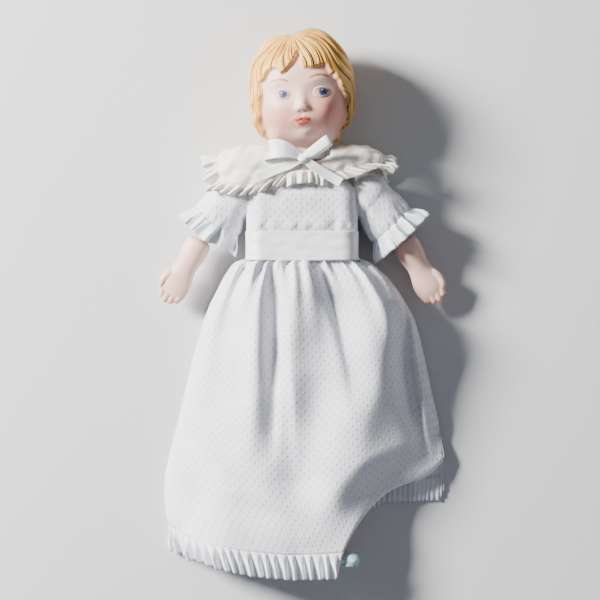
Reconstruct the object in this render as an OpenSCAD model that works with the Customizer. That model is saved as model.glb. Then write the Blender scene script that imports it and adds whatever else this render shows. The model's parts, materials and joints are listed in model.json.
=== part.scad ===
// Small porcelain doll lying on its back: a bisque shoulder head, forearms and lower legs on a
// stuffed cloth body, dressed in a frilled frock with a sash and a neck bow.
// +X is the doll's left, +Y runs to the crown and +Z comes out of the chest. The doll rests on Z = 0.

/* [Head] */
// Height of the crown above the middle of the doll
crown_y = 103.1; // [102:0.1:104]
// Half of the width over the moulded hair
hair_half_w = 19.8; // [19:0.1:20.5]
// Depth of the head from the back of the hair to the brow
head_depth = 38.8; // [38:0.1:40]
// Wall of the bisque casting
bisque_wall = 2.2; // [1.6:0.1:2.4]
// Sideways lean of the head, in degrees
head_lean = 3.5; // [0:0.5:5]

/* [Body] */
// Half of the width of the bodice
bodice_half_w = 20.0; // [19.6:0.1:20.2]
// Thickness of the bodice from back to front
bodice_depth = 21.2; // [20.8:0.1:21.6]
// Height of the lower edge of the sash
waist_y = 16.8; // [15:0.1:18]
// Width of the sash ribbon
sash_width = 10.2; // [8:0.1:12]
// Thickness of a layer of cloth
cloth = 0.6; // [0.4:0.1:0.7]

/* [Arms] */
// Distance of the shoulder joints from the middle
shoulder_x = 24.6; // [24.4:0.1:25.5]
// Height of the shoulder joints
shoulder_y = 40; // [39.8:0.1:40.4]
// Length of the upper arm from shoulder to elbow
upper_arm = 14.6; // [14.5:0.1:16]
// Angle of the upper arm from straight down
upper_arm_angle = 44; // [43:1:48]
// Angle of the forearm from straight down
forearm_angle = 29; // [26:1:34]
// Angle at which the arms drop to the surface
arm_droop = 6; // [4:1:8]

/* [Legs] */
// Distance of the hips from the middle
hip_x = 7.6; // [7.4:0.1:8.4]
// Height of the soles
sole_y = -97.5; // [-98.5:0.5:-96]
// Distance of the ankles from the middle
ankle_x = 12.5; // [11.5:0.5:13.5]
// Outward roll of the feet, in degrees
foot_roll = 36; // [25:1:45]

/* [Skirt] */
// Half of the width of the spread skirt
skirt_half_w = 52.2; // [50:0.1:53]
// Lowest height of the hem seam
hem_y = -94; // [-95:0.5:-93]
// Height of the hem seam at the lifted side
lifted_hem_y = -63; // [-70:0.5:-60]
// Depth of the gathered frill below the hem seam
frill = 9.1; // [8:0.1:10]
// Number of pleats in the hem frill
pleats = 48; // [36:1:56]

/* [Hidden] */

gap = 0.2;                               // clearance between layers that only touch
round_n = 32;                            // points round the head, body and skirt
limb_n = 20;                             // points round an arm or a leg
axis_z = bodice_depth / 2 + 0.8;         // height of the middle of the chest over the surface
chest_r = 9.5;                           // corner radius of the bodice's section
head_z = head_depth / 2;                 // height of the middle of the head over the surface
head_mid_y = 81;                         // the head leans about this height
neck_lean_x = (head_mid_y - 56) * tan(head_lean);
up = [0, 0, 1];

shoulder = [shoulder_x, shoulder_y, axis_z];
sleeve_head_r = 8.5;                     // round head of the sleeve
armhole_r = sleeve_head_r + 0.6;         // hollow that the sleeve's head turns in
joint_r = 4.5;                           // stuffed ends of the upper arm
tab_r = 2.2;                             // cloth tab that joins an arm to the body
upper_dir = [sin(upper_arm_angle), -cos(upper_arm_angle), 0];
fore_dir = [sin(forearm_angle), -cos(forearm_angle), 0];
elbow = shoulder + upper_arm * upper_dir;

fold = [0, -4.8, 9.8];                   // line about which the legs fold
fold_r = 1.4;                            // rolled seam at the fold
hip = [hip_x, -9.9, fold.z];
ankle = [ankle_x, sole_y + 7, 7.2];
leg_len = norm(ankle - hip);
leg_dir = (ankle - hip) / leg_len;
leg_up = cross(cross(leg_dir, up), leg_dir);
thread_y = 40;                           // height of the stitches in the shoulder plate

skin = [0.93, 0.80, 0.74];
swiss = [0.91, 0.92, 0.95];
cream = [0.95, 0.94, 0.89];
satin = [0.93, 0.93, 0.93];
muslin = [0.88, 0.84, 0.76];
fill_white = [0.96, 0.96, 0.95];

// ---- Sections ----

// Points of an ellipse round c, with half axes ru along u and rw along w.
function ellipse_ring(c, u, w, ru, rw, n = limb_n) =
    [for (i = [0:n - 1]) let (a = 360 * (i + 0.5) / n) c + ru * cos(a) * u + rw * sin(a) * w];

// A section across Y from z_low to z_high. Its front sits lower by drop and its sides higher by rise.
function body_ring(y, half_w, z_low, z_high, drop = 0, rise = 0) =
    [for (i = [0:round_n - 1])
        let (a = 360 * (i + 0.5) / round_n)
        [half_w * cos(a), y - drop * pow(max(0, sin(a)), 2) + rise * pow(cos(a), 2),
         (z_low + z_high) / 2 + (z_high - z_low) / 2 * sin(a)]];

// A section across Y round the chest's axis, with flat front and back and round corners.
function chest_ring(y, half_w, half_h, r = chest_r, drop = 0) =
    [for (i = [0:round_n - 1])
        let (a = 360 * (i + 0.5) / round_n)
        [sign(cos(a)) * (half_w - r) + r * cos(a), y - drop * pow(max(0, sin(a)), 2),
         axis_z + sign(sin(a)) * (half_h - r) + r * sin(a)]];

// Sections along a limb. Each row of a profile is [distance along dir, half width, half thickness].
function limb_rings(profile, base, dir, w = up) =
    [for (p = profile) ellipse_ring(base + p[0] * dir, cross(dir, w), w, p[1], p[2])];
function thinner(profile, wall) = [for (p = profile) [p[0], p[1] - wall, p[2] - wall]];
function round_profile(rows) = [for (p = rows) [p[0], p[1], p[1]]];

// Turns a section about the middle of the head by a share of its lean.
function leaned(ring, share = 1) =
    [for (p = ring)
        let (a = head_lean * share, y = p.y - head_mid_y)
        [p.x * cos(a) - y * sin(a), head_mid_y + p.x * sin(a) + y * cos(a), p.z]];

function reversed(list) = [for (i = [len(list) - 1:-1:0]) list[i]];
function middle(ring) = [for (p = ring) 1] * ring / len(ring);

// ---- Solids from sections ----

// Joins sections into a solid closed by a fan at each end, or into a tube of cloth if loop is true.
// Sections may run either way round. The last two of them lie on the outside of the solid.
module loft(sections, loop = false) {
    n = len(sections[0]);
    m = len(sections);
    last = sections[m - 1];
    facing = cross(last[n / 4] - last[0], last[n / 2] - last[0]);
    along = middle(last) - middle(sections[m - 2]);
    rings = facing * along > 0 ? sections : [for (r = sections) reversed(r)];
    points = [for (r = rings) each r];
    sides = [for (k = [0:m - (loop ? 1 : 2)], i = [0:n - 1])
        let (j = (i + 1) % n, next = (k + 1) % m)
        each [[k * n + i, next * n + i, next * n + j], [k * n + i, next * n + j, k * n + j]]];
    ends = [for (i = [0:n - 1])
        let (j = (i + 1) % n)
        each [[m * n, i, j], [m * n + 1, (m - 1) * n + j, (m - 1) * n + i]]];
    if (loop) polyhedron(points, sides, convexity = 8);
    else polyhedron([each points, middle(rings[0]), middle(rings[m - 1])], [each sides, each ends], convexity = 8);
}

// A hollow form, open at the first section of both lists and closed at their last ones.
module cup(outer, inner) {
    loft(concat(reversed(inner), outer));
}

// A tube of cloth between an outer and an inner list of sections.
module tube(outer, inner) {
    loft(concat(reversed(inner), outer), loop = true);
}

// A flat shape with round corners, centred on the origin.
module round_rect(w, h, r) {
    square([w - 2 * r, h], center = true);
    square([w, h - 2 * r], center = true);
    for (x = [-1, 1], y = [-1, 1])
        translate([x * (w / 2 - r), y * (h / 2 - r)]) circle(r = r, $fn = 48);
}

// A band of ribbon or cloth, wall thick, that runs round a flat shape.
module band(w, h, r, wall, width) {
    linear_extrude(height = width)
        difference() {
            round_rect(w, h, r);
            round_rect(w - 2 * wall, h - 2 * wall, r - wall);
        }
}

// Turns +Z to a direction in the plane of the surface, given from straight down to the doll's left.
module towards(base, angle) {
    translate(base) rotate([0, 0, angle - 90]) rotate([0, 90, 0]) children();
}

module ring_band(r, wall, width) {
    difference() {
        cylinder(r = r + wall, h = width, $fn = 48);
        translate([0, 0, -1]) cylinder(r = r, h = width + 2, $fn = 48);
    }
}

module on_right() {
    mirror([1, 0, 0]) children();
}

// Lowers an arm to the surface about its shoulder.
module droop() {
    translate(shoulder) rotate([arm_droop, 0, 0]) translate(-shoulder) children();
}

// ---- Porcelain head ----

// Head, neck and shoulder plate are one hollow casting, open under the plate.
module shoulder_head() {
    wall = bisque_wall;
    plate = [
        body_ring(37, 14.6, 2.6, 19.8, rise = 6),
        body_ring(42, 14.6, 2.8, 19.6, rise = 4),
        body_ring(47.5, 12.5, 4.2, 19.2, rise = 1),
        leaned(body_ring(50.5, 8.6, 7.8, 20.6), 0.5),
        leaned(body_ring(54, 6.4, 8.6, 21.2)),
        leaned(body_ring(58, 6.2, 10, 22.4))];
    head = [for (s = [
            [61, 11.5, 13.5, 2.4], [63.4, 15.0, 16.6, 1.2], [68, 17.7, 18.3, 0], [75, 19.1, 19.1, 0],
            [83, hair_half_w, head_z, 0], [91, 18.9, 18.5, 0], [97, 15.4, 15.4, 0],
            [101, 9.8, 10, 0], [crown_y, 3, 3.2, 0]])
        leaned(body_ring(s[0], s[1], head_z - s[2], head_z + s[2], s[3]))];
    plate_hollow = [
        body_ring(37, 14.6 - wall, 2.6 + wall, 19.8 - wall, rise = 6),
        body_ring(42, 14.6 - wall, 2.8 + wall, 19.6 - wall, rise = 3.4),
        body_ring(45.5, 12.5 - wall, 4.2 + wall, 19.2 - wall, rise = 1),
        leaned(body_ring(49, 8.6 - wall, 7.8 + wall, 20.6 - wall), 0.5),
        leaned(body_ring(53, 6.4 - wall, 8.6 + wall, 21.2 - wall)),
        leaned(body_ring(60, 6.2 - wall, 10 + wall, 22.4 - wall))];
    head_hollow = [for (s = [
            [64, 11.5, 13], [68, 15.5, 16.1], [75, 16.9, 16.9], [83, 17.6, 17.2], [91, 16.5, 16.1],
            [96, 12.6, 12.6], [99, 7.5, 7.5]])
        leaned(body_ring(s[0], s[1], head_z - s[2], head_z + s[2]))];
    color(skin)
        difference() {
            cup(concat(plate, head), concat(plate_hollow, head_hollow));
            for (x = [-8, 8])
                translate([x, thread_y, -1]) cylinder(r = 0.7, h = bodice_depth + 2, $fn = 24);
        }
}

// Threads through the four sew holes of the shoulder plate.
module plate_stitches() {
    color(muslin)
        for (x = [-8, 8], z = [2.9, 16.9])
            translate([x, thread_y, z]) cylinder(r = 0.5, h = 2.6, $fn = 24);
}

// ---- Stuffed body ----

function torso_rings(wall) = [
    body_ring(46, 6.5 - wall, 8 + wall, 14.6 - wall),
    body_ring(43, 10.5 - wall, 6.2 + wall, 16.4 - wall),
    body_ring(38, 12 - wall, 5.8 + wall, 16.6 - wall),
    body_ring(34, 13 - wall, 5.6 + wall, 16.8 - wall),
    body_ring(31, 15.6 - wall, 4 + wall, 19 - wall),
    body_ring(17, 16.6 - wall, 2.8 + wall, 20 - wall),
    body_ring(5, 16.6 - wall, 3 + wall, 19.6 - wall),
    body_ring(0, 15.8 - wall, 5.4 + wall, 15.4 - wall)];

// Muslin bag of the body, open where the fill goes in under the shoulder plate.
module torso_casing() {
    color(muslin)
        cup(concat(torso_rings(0), [body_ring(-3.2, 14.5, 8.6, 11)]),
            concat(torso_rings(cloth), [body_ring(-2, 14, 9.3, 10.3)]));
}

module torso_stuffing() {
    color(fill_white) loft(torso_rings(cloth + gap));
}

// The rolled seam along which both legs fold, and the flap that carries them.
module hip_flap() {
    flap_len = fold.y - hip.y - gap;
    color(muslin)
        translate(fold) {
            rotate([0, 90, 0]) cylinder(r = fold_r, h = 26, center = true, $fn = 32);
            translate([-13, -flap_len, -0.5]) cube([26, flap_len, 1]);
        }
}

// ---- Frock ----

function bodice_rings(wall) =
    let (w = bodice_half_w - wall, h = bodice_depth / 2 - wall, r = chest_r - wall)
    [chest_ring(waist_y + gap, w, h, r), chest_ring(24, w, h, r), chest_ring(32, w + 0.2, h, r),
     chest_ring(39, w + 0.2, h, r), chest_ring(44, w - 0.6, h - 0.2, r, 1),
     chest_ring(47.5, w - 3.5, h - 0.6, r, 3), chest_ring(50, w - 8, h - 0.9, r - 0.6, 4.6)];

// Front, back and shoulders of the frock, with an armhole on each side.
module bodice() {
    color(swiss)
        difference() {
            tube(bodice_rings(0), bodice_rings(cloth));
            for (side = [-1, 1])
                translate([side * shoulder.x, shoulder.y, shoulder.z]) sphere(r = armhole_r, $fn = 48);
        }
}

// Two press studs inside the opening down the back.
module back_snaps() {
    color("silver")
        for (y = [24, 35])
            translate([0, y, 0.8 + cloth + gap / 2]) {
                cylinder(r = 1.8, h = 0.5, $fn = 32);
                cylinder(r = 0.9, h = 1.1, $fn = 32);
            }
}

// Satin ribbon round the waist. Its back is the flat that the doll rests on.
module waist_sash() {
    wall = axis_z - bodice_depth / 2 - gap;
    color(satin)
        translate([0, waist_y + sash_width, axis_z]) rotate([90, 0, 0])
            band(2 * (bodice_half_w + 0.2 + gap + wall), 2 * axis_z, chest_r + 1, wall, sash_width);
}

// Height of the hem seam at x: level on the right, and lifted towards the doll's left.
function hem_at(x) = x < 16 ? hem_y : hem_y + (lifted_hem_y - hem_y) * sin(90 * min(1, (x - 16) / 30));

// A section of the skirt: share 0 is the waist and 1 the hem seam. below extends it past the seam.
function skirt_ring(share, wall, below = 0, ripple = 0, n = round_n) =
    [for (i = [0:n - 1])
        let (a = 360 * (i + 0.5) / n,
             spread = pow(sin(90 * share), 0.44),
             half_w = bodice_half_w - gap + (skirt_half_w - bodice_half_w) * spread - wall,
             top = 21.4 - 1.2 * share,
             x = half_w * cos(a),
             flat = pow(abs(sin(a)), 0.5 + 0.05 * share),
             wave = ripple * (i % 2),
             bottom = 0.8 * pow(1 - share, 4))
        [x, (waist_y - gap) * (1 - share) + hem_at(x) * share - below,
         sin(a) > 0 ? wall + bottom + (top - bottom - 2 * wall - wave) * flat : wall + bottom * flat + wave]];

// The skirt lies flat on its back and arches over the legs in front.
module skirt() {
    shares = [0, 0.02, 0.06, 0.15, 0.3, 0.45, 0.6, 0.8, 1];
    color(swiss)
        tube([for (s = shares) skirt_ring(s, 0)], [for (s = shares) skirt_ring(s, cloth)]);
}

// Pleated frill sewn on under the hem seam.
module hem_ruffle() {
    n = 2 * pleats;
    color(satin)
        tube([for (d = [0.6, frill]) skirt_ring(1, 0, d, 0.9, n)],
             [for (d = [0.6, frill]) skirt_ring(1, cloth, d, 0.9, n)]);
}

// Layer of a collar that runs over the shoulder, trimmed to a flat outline.
module over_shoulder(outline) {
    top_y = 58.2;
    depth = 34;
    intersection() {
        translate([-2, top_y - depth / 2, axis_z + 0.3]) rotate([90, 0, 90])
            band(depth, 2 * axis_z + 0.4, 7, cloth, 42);
        linear_extrude(height = 3 * axis_z) polygon(outline);
    }
}

collar_outline = [[14, 59], [9.2, 55.6], [8.6, 48.6], [12, 44.7], [19, 41.8], [26, 42.6], [30, 47.4],
                  [29.8, 53.6], [27, 59]];
frill_outline = [[14, 52], [9, 49.4], [2.4, 45], [9, 41], [17, 37.6], [24.4, 37.2], [30.6, 39.6],
                 [35.4, 46], [36, 52.4], [33.5, 59], [26, 59]];

module left_collar() {
    color(cream) over_shoulder(collar_outline);
}

module left_collar_ruffle() {
    color(cream)
        difference() {
            over_shoulder(frill_outline);
            translate([0, 0, -1])
                linear_extrude(height = 3 * axis_z) offset(delta = gap) polygon(collar_outline);
        }
}

module neck_ribbon() {
    color(satin)
        translate([neck_lean_x, 57.6, head_z - 3.8]) rotate([90, 0, 0]) ring_band(7.3, 0.45, 3.3);
}

// One end of the bow: a flat ribbon loop, or a tail when loop is false.
module bow_arm(length, angle, tilt, loop) {
    width = 3.4;
    rotate([0, 0, angle]) rotate([0, -tilt, 0])
        if (loop) translate([length / 2 + 0.6, width / 2, 0]) rotate([90, 0, 0]) band(length, 2.4, 1.1, 0.4, width);
        else translate([0.8, -width / 2, -0.2]) cube([length, width, 0.4]);
}

module neck_bow() {
    color(satin)
        translate([neck_lean_x - 0.4, 54.6, 25.6]) {
            rotate([90, 0, 0]) translate([0, 0, -1.5]) linear_extrude(height = 3) round_rect(3, 3, 1.2);
            bow_arm(13, 30, 52, true);
            bow_arm(12.5, 165, 30, true);
            bow_arm(16.5, -21, -1, false);
            bow_arm(15, 214, -1, false);
        }
}

// ---- Arms, built for the doll's left and mirrored for its right ----

// Cloth tab sewn between the body and the stuffed upper arm.
module left_shoulder_tab() {
    start = 12.4;
    color(muslin)
        translate([start, shoulder.y, shoulder.z]) rotate([0, 90, 0])
            cylinder(r = tab_r, h = shoulder.x - joint_r - 0.25 - start, $fn = 32);
}

function arm_profile(wall) =
    let (r = joint_r - wall, far = upper_arm)
    round_profile([
        [far + r * sin(70), r * cos(70)], [far + r * sin(50), r * cos(50)], [far + r * sin(25), r * cos(25)],
        [far, r], [far / 2, r + 0.2], [0, r], [-r * sin(25), r * cos(25)], [-r * sin(50), r * cos(50)],
        [-r * sin(75), r * cos(75)]]);

module left_arm_casing() {
    color(muslin)
        droop() cup(limb_rings(arm_profile(0), shoulder, upper_dir),
                    limb_rings(arm_profile(cloth), shoulder, upper_dir));
}

module left_arm_stuffing() {
    color(fill_white) droop() loft(limb_rings(arm_profile(cloth + gap), shoulder, upper_dir));
}

// Sections of the sleeve: [angle of the section, distance from the shoulder, half width, half height].
function sleeve_rings(rows, wall) =
    [for (s = rows)
        let (dir = [cos(s[0]), sin(s[0]), 0])
        ellipse_ring(shoulder + s[1] * dir, cross(dir, up), up, s[2] - wall, s[3] - wall, round_n)];

sleeve_angle = upper_arm_angle - 90;
sleeve_end = 12.6;
sleeve_rows = [
    for (s = [[-18, -5.4], [-23, -3.2], [-30, -0.4], [-38, 2.2]])
        let (r = sqrt(pow(sleeve_head_r, 2) - pow(s[1], 2)))
        [s[0], s[1], r, r],
    [sleeve_angle, 6, 8.9, 7.7],
    [sleeve_angle, sleeve_end, 9.6, 7.5]];

module left_sleeve() {
    color(swiss) droop() tube(sleeve_rings(sleeve_rows, 0), sleeve_rings(sleeve_rows, cloth));
}

module left_sleeve_ruffle() {
    rows = [[sleeve_angle, sleeve_end + gap, 9.8, 7.6], [sleeve_angle, sleeve_end + 7.4, 11.4, 9.4]];
    color(satin) droop() tube(sleeve_rings(rows, 0), sleeve_rings(rows, cloth));
}

// End of the arm's cloth, gathered into the groove of the porcelain forearm.
module left_arm_cuff() {
    outer = round_profile([[2, 4.95], [3.3, 4.1], [4.3, 3.6], [6.3, 3.6]]);
    inner = round_profile([[2, 4.4], [3.1, 3.5], [4.1, 3.1], [6.3, 3.1]]);
    color(muslin) droop() tube(limb_rings(outer, elbow, fore_dir), limb_rings(inner, elbow, fore_dir));
}

module left_arm_tie() {
    color(muslin)
        droop() towards(elbow + 5.2 * fore_dir, forearm_angle) ring_band(3.65, 0.5, 1);
}

// Porcelain forearm and hand, hollow down to the wrist.
module left_forearm() {
    outer = [[4.8, 2.6, 2.6], [5.1, 2.9, 2.9], [6.4, 2.9, 2.9], [7, 4.5, 4.5], [9, 5, 4.9],
             [13.5, 4.6, 4.4], [17.4, 3.8, 3.5], [20, 4.2, 3.3], [23.4, 5.3, 3], [27.2, 5.3, 2.7],
             [30.6, 4.7, 2.2], [33, 3.2, 1.5], [34, 1.2, 0.7]];
    inner = [[4.8, 1.5, 1.5], [6.4, 1.6, 1.6], [8.4, 2.9, 2.8], [13, 2.6, 2.5], [16, 1.4, 1.3]];
    color(skin) droop() cup(limb_rings(outer, elbow, fore_dir), limb_rings(inner, elbow, fore_dir));
}

// ---- Legs, built for the doll's left and mirrored for its right ----

groove_at = leg_len - 35;                // distance from the hip of the groove in the porcelain leg

function thigh_profile(wall) = round_profile([
    [groove_at - 4.6, 5 - wall], [groove_at - 10, 5.6 - wall], [groove_at - 26, 6.2 - wall],
    [6.3, 6.3 - wall], [2.8 + wall / 2, 5.2 - wall], [1 + wall, 3.4 - wall], [0.3 + wall, 1.5 - wall / 2]]);

module left_thigh_casing() {
    gather = round_profile([[groove_at + 1, 3.5], [groove_at - 1.4, 3.5]]);
    gather_inside = round_profile([[groove_at + 1, 3.0], [groove_at - 1.6, 3.0]]);
    color(muslin)
        cup(limb_rings(concat(gather, thigh_profile(0)), hip, leg_dir, leg_up),
            limb_rings(concat(gather_inside, thigh_profile(cloth)), hip, leg_dir, leg_up));
}

module left_thigh_stuffing() {
    color(fill_white) loft(limb_rings(thigh_profile(cloth + gap), hip, leg_dir, leg_up));
}

module left_leg_tie() {
    color(muslin)
        translate(hip + (groove_at - 0.7) * leg_dir)
            rotate([0, 0, atan2(leg_dir.y, leg_dir.x)]) rotate([0, 90 - asin(leg_dir.z), 0])
                ring_band(3.6, 0.5, 1.2);
}

// Porcelain lower leg with its moulded shoe.
module left_lower_leg() {
    outer = round_profile([
        [groove_at - 2.2, 2.5], [groove_at - 1.8, 2.8], [groove_at + 1.2, 2.8], [groove_at + 2, 4.6],
        [groove_at + 6, 5.3], [groove_at + 13, 5.2], [groove_at + 22, 4.2], [groove_at + 29, 3.7],
        [groove_at + 34, 3.8]]);
    inner = round_profile([
        [groove_at - 2.2, 1.5], [groove_at + 1.5, 1.6], [groove_at + 4, 3.2], [groove_at + 13, 3.2],
        [groove_at + 24, 1.8]]);
    toe_dir = [sin(foot_roll), 0, cos(foot_roll)];
    side_dir = cross(toe_dir, [0, 1, 0]);
    shoe = [for (s = [[-5, 2, 2.6], [-4, 3.2, 3.6], [-1, 3.8, 4.3], [3, 3.8, 4], [7, 3.9, 3.4],
                      [10.2, 3.3, 2.8], [12, 1.6, 1.6]])
        ellipse_ring([ankle.x, sole_y + s[2], ankle.z] + s[0] * toe_dir, side_dir, [0, 1, 0], s[1], s[2])];
    color(skin)
        union() {
            cup(limb_rings(outer, hip, leg_dir, leg_up), limb_rings(inner, hip, leg_dir, leg_up));
            loft(reversed(shoe));
        }
}

// ---- Nodes ----

shoulder_head();
plate_stitches();
torso_casing();
torso_stuffing();
bodice();
back_snaps();
waist_sash();
skirt();
hem_ruffle();
left_collar();
on_right() left_collar();  // right_collar
left_collar_ruffle();
on_right() left_collar_ruffle();  // right_collar_ruffle
neck_ribbon();
neck_bow();
left_shoulder_tab();
left_arm_casing();
left_arm_stuffing();
left_sleeve();
left_sleeve_ruffle();
left_arm_cuff();
left_arm_tie();
left_forearm();
on_right() left_shoulder_tab();  // right_shoulder_tab
on_right() left_arm_casing();  // right_arm_casing
on_right() left_arm_stuffing();  // right_arm_stuffing
on_right() left_sleeve();  // right_sleeve
on_right() left_sleeve_ruffle();  // right_sleeve_ruffle
on_right() left_arm_cuff();  // right_arm_cuff
on_right() left_arm_tie();  // right_arm_tie
on_right() left_forearm();  // right_forearm
hip_flap();
left_thigh_casing();
left_thigh_stuffing();
left_leg_tie();
left_lower_leg();
on_right() left_thigh_casing();  // right_thigh_casing
on_right() left_thigh_stuffing();  // right_thigh_stuffing
on_right() left_leg_tie();  // right_leg_tie
on_right() left_lower_leg();  // right_lower_leg
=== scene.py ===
import json
import math

import bpy
import numpy as np
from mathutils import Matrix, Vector


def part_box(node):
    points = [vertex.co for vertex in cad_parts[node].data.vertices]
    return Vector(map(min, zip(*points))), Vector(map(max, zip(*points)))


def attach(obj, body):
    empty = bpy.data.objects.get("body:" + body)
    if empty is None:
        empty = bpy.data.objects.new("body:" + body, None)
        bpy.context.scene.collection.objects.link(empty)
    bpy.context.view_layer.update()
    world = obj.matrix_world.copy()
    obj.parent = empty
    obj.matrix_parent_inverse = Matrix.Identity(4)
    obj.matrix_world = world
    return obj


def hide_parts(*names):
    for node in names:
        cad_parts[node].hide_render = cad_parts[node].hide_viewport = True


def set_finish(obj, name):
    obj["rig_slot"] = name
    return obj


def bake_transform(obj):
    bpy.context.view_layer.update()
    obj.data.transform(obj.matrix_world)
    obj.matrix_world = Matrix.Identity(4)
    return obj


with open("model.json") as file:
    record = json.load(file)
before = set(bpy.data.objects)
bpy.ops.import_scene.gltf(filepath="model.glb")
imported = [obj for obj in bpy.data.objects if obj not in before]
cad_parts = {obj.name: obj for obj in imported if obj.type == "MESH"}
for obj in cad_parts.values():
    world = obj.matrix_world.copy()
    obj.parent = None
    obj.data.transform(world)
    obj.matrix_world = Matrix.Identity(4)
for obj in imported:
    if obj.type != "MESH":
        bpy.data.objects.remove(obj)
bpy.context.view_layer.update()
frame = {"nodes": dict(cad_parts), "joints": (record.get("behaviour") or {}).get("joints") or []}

MM = 0.001  # shapes below are worked out in millimetres
JOINTS = {j["name"]: j for j in frame["joints"]}


# ---- Small maths helpers ----

def smooth(x, low, high):
    """0 below low, 1 above high, and a soft step between."""
    t = np.clip((np.asarray(x, float) - low) / (high - low), 0, 1)
    return t * t * (3 - 2 * t)


def bell(x, width):
    return np.exp(-((np.asarray(x, float) / width) ** 2))


def ripple(points, seed, size, count=7):
    """Smooth noise of about -1 to 1 whose bumps are about size mm across."""
    rng = np.random.RandomState(seed)
    out = np.zeros(points.shape[:-1])
    for _ in range(count):
        direction = rng.normal(size=points.shape[-1])
        direction /= np.linalg.norm(direction)
        pitch = size * rng.uniform(0.7, 1.6)
        out += np.sin(points @ direction * 2 * np.pi / pitch + rng.uniform(0, 2 * np.pi))
    return out / math.sqrt(count)


def unit(v):
    v = np.asarray(v, float)
    return v / np.maximum(np.linalg.norm(v, axis=-1, keepdims=True), 1e-9)


def along(points, count):
    """count points spaced evenly along a polyline."""
    points = np.asarray(points, float)
    steps = np.r_[0, np.cumsum(np.linalg.norm(np.diff(points, axis=0), axis=1))]
    at = np.linspace(0, steps[-1], count)
    return np.stack([np.interp(at, steps, points[:, k]) for k in range(points.shape[1])], 1)


def rounded(points, count, closed=False):
    """count points on a smooth curve through a few points."""
    p = np.asarray(points, float)
    p = np.vstack([p[-1:], p, p[:2]]) if closed else np.vstack([2 * p[0] - p[1], p, 2 * p[-1] - p[-2]])
    out = []
    for a, b, c, d in zip(p[:-3], p[1:-2], p[2:-1], p[3:]):
        t = np.linspace(0, 1, 24, endpoint=False)[:, None]
        out.append(0.5 * (2 * b + (c - a) * t + (2 * a - 5 * b + 4 * c - d) * t**2
                          + (3 * b - a - 3 * c + d) * t**3))
    out.append(p[-2:-1] if not closed else p[1:2])
    curve = along(np.vstack(out), count + (1 if closed else 0))
    return curve[:count]


def add_object(name, data):
    obj = bpy.data.objects.new(name, data)
    bpy.context.scene.collection.objects.link(obj)
    return obj


def face_along(obj, way):
    """Turns a camera or light so that it looks along a direction."""
    obj.rotation_mode = "QUATERNION"
    obj.rotation_quaternion = Vector(way).to_track_quat("-Z", "Y")


def stacked(*parts):
    """Coordinates, brought to one shape, as points."""
    return np.stack(np.broadcast_arrays(*parts), -1)


def side_name(side):
    return "left" if side > 0 else "right"


# ---- Camera: nearly straight down on the doll, from the side of its feet ----

CAMERA_FAR, CAMERA_TILT, VIEW_MM = 900.0, math.radians(88), 224.1
AIM = np.array([-0.75, 1.5, 10.0])
BACK = np.array([0, -math.cos(CAMERA_TILT), math.sin(CAMERA_TILT)])
UP = np.array([0, math.sin(CAMERA_TILT), math.cos(CAMERA_TILT)])
camera = add_object("camera", bpy.data.cameras.new("camera"))
bpy.context.scene.camera = camera
camera.location = Vector((AIM + CAMERA_FAR * BACK) * MM)
face_along(camera, -BACK)
camera.data.sensor_width = 36
camera.data.lens = 36 * CAMERA_FAR / VIEW_MM
camera.data.clip_start, camera.data.clip_end = 0.01, 10


def pictured(p):
    """Where points in mm show in the camera's view: x and y on the level of AIM."""
    v = np.asarray(p, float) - AIM - CAMERA_FAR * BACK
    share = CAMERA_FAR / -(v @ BACK)
    return stacked(AIM[0] + v[..., 0] * share, AIM[1] + (v @ UP) * share)


def placed(x, y, z):
    """The point at height z that shows at x and y in the camera's view."""
    eye = AIM + CAMERA_FAR * BACK
    x, y, z = np.broadcast_arrays(*(np.asarray(k, float) for k in (x, y, z)))
    ray = (x - AIM[0])[..., None] * np.array([1.0, 0, 0]) + (y - AIM[1])[..., None] * UP + AIM - eye
    return eye + ray * ((z - eye[2]) / ray[..., 2])[..., None]


# ---- Mesh helpers ----

def mirrored(p, side):
    """Points of the doll's left, or of its right where side is -1."""
    return p * np.array([side, 1, 1]) if side < 0 else p


def corners(node):
    """The low and high corners of a CAD node's box, in mm."""
    return (np.array(c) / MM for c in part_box(node))


def quads(rows, cols, wrap_cols, wrap_rows):
    """Faces of a grid of rows by cols points."""
    r = np.arange(rows if wrap_rows else rows - 1)
    c = np.arange(cols if wrap_cols else cols - 1)
    r, c = np.meshgrid(r, c, indexing="ij")
    nr, nc = (r + 1) % rows, (c + 1) % cols
    return stacked(r * cols + c, r * cols + nc, nr * cols + nc, nr * cols + c).reshape(-1, 4)


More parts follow.
